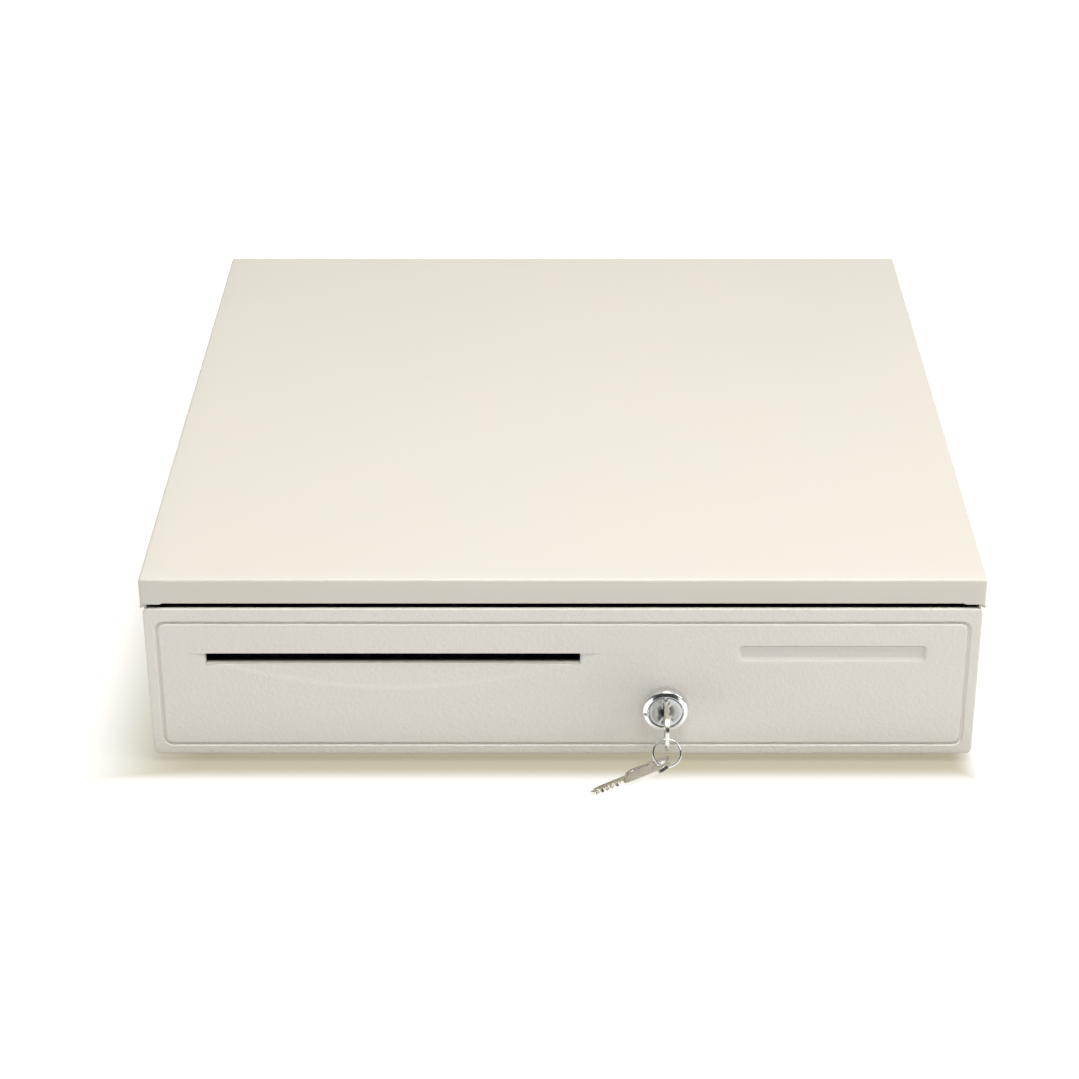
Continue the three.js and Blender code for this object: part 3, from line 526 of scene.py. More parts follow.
# ---- sheet metal
def wall(bm, axis, level, us, vs, skip=()):
    """A flat wall as a grid: for X the grid is (y, z), for Y (x, z), for Z (x, y)."""
    place = PLANES[axis]
    grid = [[bm.verts.new(place(u, v, level)) for v in vs] for u in us]
    for i in range(len(us) - 1):
        for k in range(len(vs) - 1):
            if (i, k) not in skip:
                bm.faces.new((grid[i][k], grid[i + 1][k], grid[i + 1][k + 1], grid[i][k + 1]))


def sheet(name, bm, outward, thickness, bend, edge=0.15):
    """Folds a shell of flat walls: rounded bends, real thickness inward, softened cut edges.
    outward is (point on a face, its outward direction)."""
    bmesh.ops.remove_doubles(bm, verts=bm.verts, dist=1e-4)
    bmesh.ops.delete(bm, geom=[v for v in bm.verts if not v.link_faces], context="VERTS")
    bmesh.ops.recalc_face_normals(bm, faces=bm.faces)
    spot, direction = outward
    near = min(bm.faces, key=lambda f: (f.calc_center_median() - Vector(spot)).length)
    if near.normal.dot(Vector(direction)) < 0:
        bmesh.ops.reverse_faces(bm, faces=bm.faces)
    folds = [e for e in bm.edges if len(e.link_faces) == 2 and e.calc_face_angle() > 0.3]
    round_fold = {"segments": 5, "profile": 0.5, "affect": "EDGES", "clamp_overlap": True}
    bmesh.ops.bevel(bm, geom=folds, offset=bend, **round_fold)
    obj = from_bmesh(name, bm, recalc=False)
    shell = obj.modifiers.new("thickness", "SOLIDIFY")
    shell.thickness = thickness * MM
    shell.offset = -1
    shell.use_even_offset = True
    bake(obj)
    return soften(obj, edge, 2, 60)


def build_cover():
    (x0, y0, z0), (x1, y1, z1) = COVER_LOW, COVER_HIGH
    lip_height, lip_return, flange = 13.6, 9, 194
    lip, notch = z1 - lip_height, PANEL_HIGH.z + 0.7
    back_of_panel = PANEL_HIGH.y + 0.6
    socket_low, socket_high = ends("jack_socket")
    xs = [x0, -flange, socket_low.x + 2, socket_high.x - 2, flange, x1]
    zs = [z0, socket_low.z + 1.5, socket_high.z - 1.5, notch, lip, z1]
    ys = [y0, back_of_panel, y1]
    bm = bmesh.new()
    wall(bm, "Z", z1, xs, ys)
    for x in (x0, x1):
        wall(bm, "X", x, ys, zs, {(0, 0), (0, 1), (0, 2)})
    wall(bm, "Y", y1, xs, zs, {(2, 1)})
    wall(bm, "Y", y0, xs, zs[-2:])
    wall(bm, "Z", lip, xs[1:5], [y0, y0 + lip_return])
    cover = sheet("cover_sheet", bm, ((0, 0, z1), (0, 0, 1)), SHEET, 1.5)
    return ready(cover, "casing", "cream_paint", ["case_cover"])


def build_base():
    lo, hi = ends("case_base")
    rail0, rail1 = PANEL_HIGH.y + 6, COVER_HIGH.y - 12
    rear_half, rear_top = 195, 14
    xs = [lo.x, -rear_half, rear_half, hi.x]
    bm = bmesh.new()
    wall(bm, "Z", lo.z, xs, [lo.y, rail0, rail1, hi.y])
    for x in (lo.x, hi.x):
        wall(bm, "X", x, [rail0, rail1], [lo.z, hi.z])
    wall(bm, "Y", hi.y, xs[1:3], [lo.z, rear_top])
    base = sheet("base_sheet", bm, ((0, 0, lo.z), (0, 0, -1)), SHEET, 1.3)
    bake(base)
    x, y, width, rise = 140, 120, 6, 0.5

    def frame_of(grow, outer_r, inner_r, start, end):
        """The stiffening bead's rounded frame, wider on both sides by grow."""
        inner = centred(x - width - grow, y - width - grow, inner_r)
        return prism("bead", centred(x + grow, y + grow, outer_r), "Z", start, end, [inner])

    cut(base, frame_of(1, 7, 2, lo.z + SHEET / 2, lo.z + SHEET + rise), operation="UNION")
    cut(base, frame_of(0, 6, 3, lo.z - 1, lo.z + rise))
    return ready(base, "casing", "cream_paint", ["case_base"])


def build_pan():
    lo, hi = ends("drawer_pan")
    chute_low, chute_high = ends("media_chute")
    cam_low, cam_high = ends("lock_cam")
    thickness, lock_hole, cam_gap, slot_top = 1.0, 9.7, 0.8, 62.5
    slot_x = [chute_low.x - 1, chute_high.x + 1]
    hole_x = [LOCK.x - lock_hole, LOCK.x + lock_hole]
    floor_x = [LOCK.x - 6.5, LOCK.x + 22]
    xs = sorted([lo.x, *slot_x, *hole_x, *floor_x, hi.x])
    slot_z = [chute_low.z + 7, slot_top]
    hole_z = [LOCK.z - lock_hole, LOCK.z + lock_hole]
    zs = sorted([lo.z, *hole_z, *slot_z, hi.z])
    ys = [lo.y, cam_low.y - cam_gap, cam_high.y + cam_gap, hi.y]

    def cells(us, vs, u_range, v_range):
        """The grid cells that lie wholly inside a rectangle."""

        def within(marks, start, end):
            return [i for i in range(len(marks) - 1) if start <= marks[i] and marks[i + 1] <= end]

        return {(i, k) for i in within(us, *u_range) for k in within(vs, *v_range)}

    bm = bmesh.new()
    wall(bm, "Z", lo.z, xs, ys, cells(xs, ys, floor_x, ys[1:3]))
    holes = cells(xs, zs, slot_x, slot_z) | cells(xs, zs, hole_x, hole_z)
    wall(bm, "Y", lo.y, xs, zs, holes)
    wall(bm, "Y", hi.y, xs, zs)
    for x in (lo.x, hi.x):
        wall(bm, "X", x, ys, zs)
    pan = sheet("pan_sheet", bm, ((0, 0, lo.z), (0, 0, -1)), thickness, 1.4)
    return ready(pan, "drawer", "zinc_steel", ["drawer_pan"])


# ---- front panel
# left, right, bottom and top of each feature, and then its corner radius if it has one
GROOVE = (-198.0, 198.0, 7.6, 76.6, 3.9)
SLOT = (-174.8, 8.5, 53.9, 59.5)
LABEL = (85.6, 178.2, 54.9, 64.0, 2.6)
SCOOP = (-185.8, 21.4, 20.6)  # left, right and the sag of its lower edge
SKIN = 3.0
THIN_SKIN = 1.7  # above the step behind the panel's top
STEP_DROP = 8
RIM = 2.2
CORNER = 3.0
HOLE, HOLE_GRID, HOLE_BLEND = 9.75, 7.0, 14.0  # the lock hole, and the grid bent round it


def scoop_depth(x, z):
    """The dished finger scoop: deepest under the slot, running out to nothing along an arc."""
    left, right, sag = SCOOP
    top = SLOT[3]
    half = (right - left) / 2
    radius = (half * half + sag * sag) / (2 * sag)
    inward = radius - math.hypot(x - (left + right) / 2, z - (top - sag + radius))
    if inward <= 0:
        return 0.0
    step = smoothstep(0.15, -0.15, z - top)
    return step * (0.6 * smoothstep(0, 3.0, inward) + 1.0 * smoothstep(0, sag, inward))


def panel_depth(x, z):
    """How far the face lies behind the panel's front plane."""
    lo, hi = PANEL_LOW, PANEL_HIGH
    rim = inside_rounded(x, z, lo.x, hi.x, lo.z, hi.z, CORNER)
    depth = quarter(1.0, rim)
    to_groove = abs(inside_rounded(x, z, *GROOVE))
    depth += 1.2 * (1 - smoothstep(0.3, 1.15, to_groove))
    depth += scoop_depth(x, z)
    depth += 1.7 * smoothstep(-0.2, 2.1, inside_rounded(x, z, *LABEL))
    s0, s1, b0, b1 = SLOT
    beside = math.hypot(max(s0 - x, x - s1, 0), max(b0 - z, 0))
    if z <= b1 + 0.01 and beside > 0:
        depth += quarter(1.3, beside)
    elif z > b1 and s0 <= x <= s1:
        depth += quarter(0.3, z - b1)
    return depth


def panel_spot(x, z):
    """Moves a grid point so that the outline's corners are round and the lock hole is a circle."""
    lo, hi = PANEL_LOW, PANEL_HIGH
    r = CORNER
    cx = max(lo.x + r, min(hi.x - r, x))
    cz = max(lo.z + r, min(hi.z - r, z))
    u, v = (x - cx) / r, (z - cz) / r
    if u and v:
        x = cx + r * u * math.sqrt(1 - v * v / 2)
        z = cz + r * v * math.sqrt(1 - u * u / 2)
    dx, dz = x - LOCK.x, z - LOCK.z
    square = max(abs(dx), abs(dz))
    if HOLE_GRID - 1e-6 <= square < HOLE_BLEND:
        t = (square - HOLE_GRID) / (HOLE_BLEND - HOLE_GRID)
        length = math.hypot(dx, dz)
        reach = (1 - t) * HOLE + t * length
        x, z = LOCK.x + dx / length * reach, LOCK.z + dz / length * reach
    return x, z


def panel_grid():
    """The grid's x and z lines: fine strips (start, end, step) wherever the face bends."""
    lo, hi = PANEL_LOW, PANEL_HIGH
    s0, s1, b0, b1 = SLOT
    step = hi.z - STEP_DROP

    def border(a, b, edge=1.8):
        """Fine strips along both rounded edges, and a line at each inner wall."""
        return [(a, a + edge, 0.2), (b - edge, b, 0.2), (a + RIM, a + RIM, 1), (b - RIM, b - RIM, 1)]

    def round_lock(c):
        near, far = HOLE_GRID, HOLE_BLEND
        return [(c - far, c - near, 0.9), (c - near, c + near, 1.2)]

    x_fine = border(lo.x, hi.x) + round_lock(LOCK.x) + [(LOCK.x + HOLE_GRID, LOCK.x + HOLE_BLEND, 0.9)]
    x_fine += [(-200.2, -190, 0.35), (190, 200.2, 0.35), (s0 - 1.8, s0, 0.22), (s1, s1 + 1.8, 0.22)]
    x_fine += [(-188, -182, 0.6), (18, 24, 0.5), (85.5, 89.5, 0.3), (174.5, 178.5, 0.3)]
    z_fine = border(lo.z, hi.z) + round_lock(LOCK.z) + [(LOCK.z + HOLE_GRID, 38, 0.9)]
    z_fine += [(5.8, 14.0, 0.3), (70.2, 78.4, 0.3), (b0 - 1.8, b0, 0.2), (b0, b1, 1.4), (b1, b1 + 0.4, 0.1)]
    z_fine += [(b1 - 0.2, b1, 0.1), (38, b0 - 1.8, 0.5), (b1 + 0.4, 65.5, 0.35)]
    z_fine += [(LOCK.z + HOLE_BLEND, LOCK.z + HOLE_BLEND, 1), (step - RIM, step - RIM, 1), (step, step, 1)]
    return lines(lo.x, hi.x, 3.2, x_fine), lines(lo.z, hi.z, 2.0, z_fine)


def build_panel():
    lo, hi = PANEL_LOW, PANEL_HIGH
    step = hi.z - STEP_DROP
    s0, s1, b0, b1 = SLOT
    xs, zs = panel_grid()
    bm = bmesh.new()
    front, back, floor, kinds = {}, {}, {}, {}
    for i, x in enumerate(xs):
        for k, z in enumerate(zs):
            px, pz = panel_spot(x, z)
            front[(i, k)] = bm.verts.new((px, lo.y + panel_depth(px, pz), pz))
            back[(i, k)] = bm.verts.new((px, hi.y, pz))

    def kind_of(x, z):
        """An open cell is a hole, a hollow one is thin skin, and a rim one is solid to the back."""
        if (s0 < x < s1 and b0 < z < b1) or max(abs(x - LOCK.x), abs(z - LOCK.z)) < HOLE_GRID:
            return "open"
        inside = lo.x + RIM < x < hi.x - RIM and lo.z + RIM < z < step - RIM
        return "hollow" if inside or z > step else "rim"

    def skin_vert(at):
        if at not in floor:
            spot = back[at].co
            skin = THIN_SKIN if zs[at[1]] > step else SKIN
            floor[at] = bm.verts.new((spot.x, lo.y + skin, spot.z))
        return floor[at]

    def rear(kind, at):
        return skin_vert(at) if kind == "hollow" else back[at]

    for i in range(len(xs) - 1):
        for k in range(len(zs) - 1):
            kinds[(i, k)] = kind_of((xs[i] + xs[i + 1]) / 2, (zs[k] + zs[k + 1]) / 2)
    for (i, k), kind in kinds.items():
        if kind == "open":
            continue
        ring = [(i, k), (i + 1, k), (i + 1, k + 1), (i, k + 1)]
        beyond = [(i, k - 1), (i + 1, k), (i, k + 1), (i - 1, k)]
        bm.faces.new([front[at] for at in ring])
        bm.faces.new([rear(kind, at) for at in reversed(ring)])
        for side in range(4):
            p, q = ring[side], ring[(side + 1) % 4]
            other = kinds.get(beyond[side], "outside")
            if other in ("open", "outside"):
                bm.faces.new((front[p], rear(kind, p), rear(kind, q), front[q]))
            elif other != kind and kind == "rim":
                bm.faces.new((skin_vert(p), back[p], back[q], skin_vert(q)))
    bmesh.ops.delete(bm, geom=[v for v in bm.verts if not v.link_faces], context="VERTS")
    panel = from_bmesh("panel_moulding", bm)
    return ready(panel, "drawer", "warm_plastic", ["front_panel"], smooth=50)


# ---- lock and keys
def build_lock():
    face = low("lock_housing").y
    plate = PANEL_LOW.y
    rear = high("lock_housing").y
    rim, body, mouth = 11.55, 9.5, 8.6
    bezel = [(mouth, face + 4.2), (mouth, face + 0.5)]
    bezel += arc(mouth + 0.35, face + 0.5, 0.35, 180, 265, 4)
    cone, fall = 1.6, 0.65
    shoulder_r, shoulder_y = mouth + 0.5 + cone, face + 0.1 + fall
    bezel.append((mouth + 0.5, face + 0.1))
    bezel.append((shoulder_r - 0.15, shoulder_y - 0.06))
    for i in range(13):
        turn = math.radians(7 + 83 * i / 12)
        out = (rim - shoulder_r) * math.sin(turn)
        bezel.append((shoulder_r + out, shoulder_y + 2.55 * (1 - math.cos(turn))))
    bezel += [(rim, plate - 0.6)] + arc(rim - 0.3, plate - 0.4, 0.3, 0, 80, 4) + [(body, plate - 0.1)]
    threads = []
    z = plate + 4
    while z < rear - 1.0:
        threads += [(body, z), (body - 0.35, z + 0.5)]
        z += 1.0
    profile = bezel + [(body, plate + 3.5)] + threads + [(body, rear - 0.6), (body - 0.5, rear)]
    profile += [(6.56, rear), (6.56, face + 4.2)]
    housing = lathe("lock_housing_chrome", profile, (LOCK.x, 0, LOCK.z), "Y", 128)
    ready(housing, "drawer", "chrome", ["lock_housing"], smooth=25)

    plug_face = low("lock_plug").y
    plug_rear = high("lock_plug").y
    r = 8.3
    dish = [(0, plug_face), (r - 0.35, plug_face)]
    edge = arc(r - 0.35, plug_face + 0.35, 0.35, -80, 0, 4)
    rest = [(r, plug_face + 3.7), (6.5, plug_face + 3.7), (6.5, plug_rear - 2.4), (0, plug_rear - 2.4)]
    plug = lathe("lock_plug_chrome", dish + edge + rest, (LOCK.x, 0, LOCK.z), "Y", 128)
    tang = block("tang", (LOCK.x - 3, plug_rear - 3, LOCK.z - 3), (LOCK.x + 3, plug_rear, LOCK.z + 3))
    join(plug, bake(soften(tang, 0.2)))

    def pocket(name, half, below, above, corner, depth):
        """A rounded cut into the plug's face, from below the lock's centre to above it."""
        outline = rounded(LOCK.x - half, LOCK.x + half, LOCK.z - below, LOCK.z + above, corner)
        return prism(name, outline, "Y", plug_face - 1, plug_face + depth)

    keyway = pocket("keyway", 1.25, 3.8, 3.8, 0.3, 18.6)
    eye = pocket("eye", 2.7, 2.6, 2.3, 2.3, 1.7)
    notch = pocket("notch", 0.9, 1.5 - r, r + 1, 0.3, 1.0)
    cut(plug, keyway, eye, notch)
    ready(plug, "lock", "zinc_steel", ["lock_plug"], smooth=25)


KEY_LENGTH, BOW_LENGTH, BOW_WIDTH, BLADE_WIDTH, KEY_THICK = 42.5, 24.0, 18.0, 7.0, 1.8
HOLE_FROM_END = 5.3


def key_outline(length, bow, bow_w, blade_w):
    """(along, across) points of the flat key: tip at 0, bow end at length."""
    shoulder = length - bow
    b, w = blade_w / 2, bow_w / 2
    lower = [(0.3, -0.9), (2.6, -b + 0.4), (3.4, -b), (shoulder - 0.2, -b), (shoulder, -b - 0.3)]
    lower += [(shoulder + 0.1, -w + 4.2)] + arc(shoulder + 4.0, -w + 4.0, 4.0, 180, 270, 8)
    lower += arc(length - 6.5, -w + 6.5, 6.5, -90, 0, 10)
    upper = arc(length - 6.5, w - 6.5, 6.5, 0, 90, 10) + arc(shoulder + 4.0, w - 4.0, 4.0, 90, 180, 8)
    upper += [(shoulder + 0.1, b + 0.6), (shoulder, b + 0.3), (shoulder - 0.2, b)]
    cuts = []
    count = 5
    pitch = (shoulder - 5.2) / count
    for i in range(count):
        at = shoulder - 1.8 - pitch * i
        drop = 0.9 + 0.55 * ((i * 2) % 3)
        cuts += [(at, b), (at - 0.9, b - drop), (at - 1.6, b - drop), (at - 2.4, b - 0.1)]
    return lower + upper + cuts + [(3.2, b), (2.4, b - 0.4), (0.3, 0.9)]


def key_mesh(name):
    """A key in its own frame: along +Y, width along Z, thickness along X, as the CAD key is made."""
    hole_at = KEY_LENGTH - HOLE_FROM_END + 0.4
    outline = key_outline(KEY_LENGTH, BOW_LENGTH, BOW_WIDTH, BLADE_WIDTH)
    hole = rounded(hole_at - 3.0, hole_at + 3.0, -3.4, 2.8, 2.9)
    key = prism(name, outline, "X", -KEY_THICK / 2, KEY_THICK / 2, [hole])
    shoulder = KEY_LENGTH - BOW_LENGTH
    grooves = []
    for side in (-1, 1):
        mill = rounded(-2, shoulder - 1.2, -1.3 + 0.7 * side, 0.1 + 0.7 * side, 0.25)
        pad = rounded(shoulder + 2.4, hole_at - 4.2, -6.2, 6.2, 2.6)
        for shape, bottom in ((mill, 0.45), (pad, 0.72)):
            grooves.append(prism("groove", shape, "X", *sorted((side * bottom, side * 2))))
    cut(key, *grooves)
    return soften(key, 0.16, 2, 40)


def place(obj, matrix):
    """Moves a millimetre-built piece by a matrix whose place is in millimetres."""
    matrix = matrix.copy()
    matrix.translation = matrix.translation * MM
    obj.data.transform(matrix)
    return obj


def ring_numbers():
    """The ring's centre and tilt, from the CAD ring's own box."""
    lo, hi = ends("key_ring")
    wire = 0.7
    radius = (hi.x - lo.x) / 2 - wire
    tilt = math.acos(max(-1, min(1, ((hi.z - lo.z) / 2 - wire) / radius)))
    return (lo + hi) / 2, radius, tilt


def build_keys():
    key = key_mesh("key_in_lock")
    tip = high("key").y
    turn = Matrix.Rotation(math.pi, 4, "Z")
    turn.translation = Vector((LOCK.x, tip, LOCK.z))
    ready(place(bake(key), turn), "key", "key_nickel", ["key"], smooth=25)

    centre, radius, tilt = ring_numbers()
    down = Vector((0, -math.sin(tilt), -math.cos(tilt)))
    across = Vector((1, 0, 0))
    normal = across.cross(down)
    points = []
    steps = 200
    turns = 1.86
    for i in range(steps + 1):
        t = i / steps
        angle = math.radians(205) + t * turns * TWO_PI
        offset = 0.42 * (2 * smoothstep(0.35, 0.65, t) - 1)
        out = math.sin(angle) * across + math.cos(angle) * down
        points.append(centre + radius * out + normal * offset)
    ring = tube("split_ring", points, 0.66, 12, squash=0.62)
    ready(ring, "key_ring", "chrome", ["key_ring"], smooth=40)

    around = math.radians(150)
    hole = centre + radius * (-math.sin(around) * across - math.cos(around) * down)
    slot_at = KEY_LENGTH - HOLE_FROM_END
    slope = math.asin((hole.z - FLOOR_Z - 2.2) / slot_at)
    along = Vector((math.cos(slope), 0, math.sin(slope)))
    roll = math.radians(13)
    level = Vector((0, -1, 0))
    width = math.cos(roll) * level - math.sin(roll) * along.cross(level)
    face = along.cross(width)
    basis = Matrix((face, along, width)).transposed().to_4x4()
    basis.translation = hole - along * slot_at + width * 0.3
    spare = key_mesh("spare_key_nickel")
    ready(place(bake(spare), basis), "spare_key", "key_nickel", ["spare_key"], smooth=25)


# ---- feet and fasteners
def build_feet():
    for corner in ("fl", "fr", "rl", "rr"):
        lo, hi = ends(f"foot_{corner}")
        c = (lo + hi) / 2
        r = (hi.x - lo.x) / 2
        profile = [(1.8, hi.z), (r - 0.8, hi.z)] + arc(r - 0.8, hi.z - 0.8, 0.8, 90, 0, 4)
        profile += arc(r - 1.6, lo.z + 0.9, 0.9, 0, -90, 5) + [(4.9, lo.z), (4.2, lo.z + 0.5)]
        profile += [(4.2, lo.z + 1.6), (1.8, lo.z + 1.6)]
        pad = lathe(f"rubber_foot_{corner}", profile, (c.x, c.y, 0), "Z", 64)
        ready(pad, "casing", "rubber", [f"foot_{corner}"])


def screw_mesh(name, head_r, head_h, shank_r, length):
    """Pan head at the origin facing -Z with a cross recess, threaded shank along +Z."""
    dome = [(0, -head_h)]
    for i in range(1, 8):
        a = math.radians(12 * i)
        dome.append((head_r * math.sin(a), -head_h + (head_h - 0.35) * (1 - math.cos(a))))
    profile = dome + [(head_r, -0.3), (head_r, 0), (shank_r, 0)]
    z = 0.4
    while z < length - 0.8:
        profile += [(shank_r, z), (shank_r - 0.28, z + 0.35)]
        z += 0.7
    profile += [(shank_r - 0.1, length - 0.5), (shank_r - 0.5, length), (0, length)]
    screw = lathe(name, profile, (0, 0, 0), "Z", 32)
    long, short, deep = 1.6, 0.35, 0.75
    for a, b in ((long, short), (short, long)):
        cut(screw, block("slot", (-a, -b, -head_h - 1), (a, b, -head_h + deep)))
    return screw


def build_screws():
    down = Matrix.Identity(4)
    inward = Matrix.Rotation(math.pi / 2, 4, "X")
    groups = [(f"foot_screw_{c}", "casing", down, 1.2) for c in ("fl", "fr", "rl", "rr")]
    groups += [(f"case_screw_{i}", "casing", inward, 1.6) for i in range(1, 5)]
    groups += [(f"panel_screw_{i}", "drawer", inward, 1.6) for i in range(1, 5)]
    for node, body, turn, head in groups:
        lo, hi = ends(node)
        c = (lo + hi) / 2
        if turn is down:
            spot = Vector((c.x, c.y, lo.z + head))
            length = hi.z - lo.z - head
        else:
            spot = Vector((c.x, hi.y - head, c.z))
            length = hi.y - lo.y - head
        matrix = turn.copy()
        matrix.translation = spot
        screw = screw_mesh(node.replace("screw", "fixing"), (hi.x - lo.x) / 2, head, 1.5, length)
        ready(place(screw, matrix), body, "zinc_steel", [node])


# ---- slides
def build_slides():
    def race(depth, half, web):
        """Half the middle line of a rail: web, flange and curled ball race."""
        reach = depth - 0.6
        corner = [(web, 0), (web, half - 2.2), (web + 0.7, half - 0.9), (web + 2.0, half - 0.6)]
        return corner + [(reach - 1.4, half - 0.6), (reach - 0.3, half - 1.2), (reach, half - 2.3)]

    for kind in ("outer", "middle", "inner"):
        for hand, side in (("left", -1), ("right", 1)):
            node = f"slide_{kind}_{hand}"
            lo, hi = ends(node)
            depth = hi.x - lo.x
            half = (hi.z - lo.z) / 2
            z = (lo.z + hi.z) / 2
            upper = race(depth, half, 0.6)
            path = [(a, -b) for a, b in reversed(upper[1:])] + upper[1:]
            from_wall = (kind == "inner") == (side > 0)
            start, sign = (lo.x, 1) if from_wall else (hi.x, -1)
            outline = [(start + sign * a, z + b) for a, b in thick_path(path, SHEET)]
            rail = prism(f"rail_{kind}_{hand}", outline, "Y", lo.y, hi.y)
            soften(rail, 0.12, 1, 50)
            body = {"outer": "casing", "middle": f"slide_middle_{hand}", "inner": "drawer"}[kind]
            ready(rail, body, "zinc_steel", [node])


# ---- till
def upright(bm, p, q, bottom, top):
    """A vertical face over the line from p to q."""
    corners = ((*p, bottom), (*q, bottom), (*q, top), (*p, top))
    bm.faces.new([bm.verts.new(v) for v in corners])


def terrain(name, xs, ys, heights, bottom):
    """A tray of flat-topped cells: heights[(i, k)] is the top of cell i, k."""
    bm = bmesh.new()
    cells = [(i, k) for i in range(len(xs) - 1) for k in range(len(ys) - 1)]
    for i, k in cells:
        z = heights[(i, k)]
        spots = [(xs[i], ys[k]), (xs[i + 1], ys[k]), (xs[i + 1], ys[k + 1]), (xs[i], ys[k + 1])]
        bm.faces.new([bm.verts.new((x, y, z)) for x, y in spots])
        bm.faces.new([bm.verts.new((x, y, bottom)) for x, y in spots])
        beyond = [(i, k - 1), (i + 1, k), (i, k + 1), (i - 1, k)]
        levels = sorted({bottom, *heights.values()})
        for side in range(4):
            p, q = spots[side], spots[(side + 1) % 4]
            other = heights.get(beyond[side], bottom)
            stops = [h for h in levels if other <= h <= z]
            for a, b in zip(stops, stops[1:]):
                upright(bm, p, q, a, b)
    bmesh.ops.remove_doubles(bm, verts=bm.verts, dist=1e-4)
    bmesh.ops.dissolve_limit(bm, angle_limit=math.radians(0.5), verts=bm.verts, edges=bm.edges)
    return from_bmesh(name, bm)


def build_till():
    lo, hi = ends("till_tray")
    w = 2.2
    coin_back = high("coin_tray").y + 0.6
    xs = [lo.x, lo.x + w, hi.x - w, hi.x]
    ys = [lo.y, lo.y + w, coin_back, coin_back + w, hi.y - w, hi.y]
    floor, rim, mid = lo.z + w, hi.z, 64
    heights = {}
    for i in range(3):
        for k in range(5):
            edge = i in (0, 2) or k in (0, 4)
            heights[(i, k)] = rim if edge else (mid if k == 2 else floor)
    tray = soften(terrain("till_tub", xs, ys, heights, lo.z), 0.7, 3)
    ready(tray, "drawer", "till_plastic", ["till_tray"])


def cup_loop(x0, x1, y0, y1, r, n):
    """4n points round a rounded rectangle, spaced like the points of the plain rectangle."""
    r = max(0.01, min(r, (x1 - x0) / 2, (y1 - y0) / 2))
    points = []
    corners = [(x0, y0), (x1, y0), (x1, y1), (x0, y1)]
    for s in range(4):
        (ax, ay), (bx, by) = corners[s], corners[(s + 1) % 4]
        for i in range(n):
            x, y = ax + (bx - ax) * i / n, ay + (by - ay) * i / n
            cx, cy = min(max(x, x0 + r), x1 - r), min(max(y, y0 + r), y1 - r)
            length = math.hypot(x - cx, y - cy)
            if length > r:
                x, y = cx + (x - cx) / length * r, cy + (y - cy) / length * r
            points.append((x, y))
    return points


def cup_stages(wall_t, deep):
    """(inset, depth, corner radius) of a coin cup, from its rim down to its round bottom."""
    lip, corner, bowl, steps = 0.7, 6.0, 19, 12
    stages = [(0.0, 0.0, 0.0)]
    for degrees in (90, 70, 45, 20, 0):
        a = math.radians(degrees)
        stages.append((wall_t / 2 + lip - lip * math.cos(a), lip - lip * math.sin(a), corner))
    for i in range(1, steps + 1):
        a = math.radians(90 * i / steps)
        inset = wall_t / 2 + bowl * (1 - math.cos(a)) + 0.4
        stages.append((inset, lip + (deep - lip) * math.sin(a), corner + 8 * i / steps))
    return stages


def build_coin_tray():
    lo, hi = ends("coin_tray")
    columns, rows, wall_t, n = 4, 2, 1.8, 14
    cell_w, cell_d = (hi.x - lo.x) / columns, (hi.y - lo.y) / rows
    top, deep = hi.z, hi.z - lo.z - 2.0
    bm = bmesh.new()

    def skin(inner, outer):
        for i in range(len(inner)):
            k = (i + 1) % len(inner)
            bm.faces.new((outer[i], outer[k], inner[k], inner[i]))

    for column in range(columns):
        for row in range(rows):
            x0, y0 = lo.x + column * cell_w, lo.y + row * cell_d
            x1, y1 = x0 + cell_w, y0 + cell_d
            previous = None
            for inset, depth, r in cup_stages(wall_t, deep):
                loop = cup_loop(x0 + inset, x1 - inset, y0 + inset, y1 - inset, r, n)
                verts = [bm.verts.new((x, y, top - depth)) for x, y in loop]
                if previous:
                    skin(verts, previous)
                previous = verts
            bm.faces.new(previous)
            rim = cup_loop(x0, x1, y0, y1, 0, n)
            bottom = [bm.verts.new((x, y, lo.z)) for x, y in rim]
            bm.faces.new(bottom[::-1])
            for s, outside in enumerate((row == 0, column == columns - 1, row == rows - 1, column == 0)):
                if outside:
                    for i in range(s * n, s * n + n):
                        upright(bm, rim[i], rim[(i + 1) % (4 * n)], lo.z, top)
    bmesh.ops.remove_doubles(bm, verts=bm.verts, dist=1e-3)
    tray = from_bmesh("coin_cups", bm)
    ready(tray, "drawer", "till_plastic", ["coin_tray"], smooth=40)


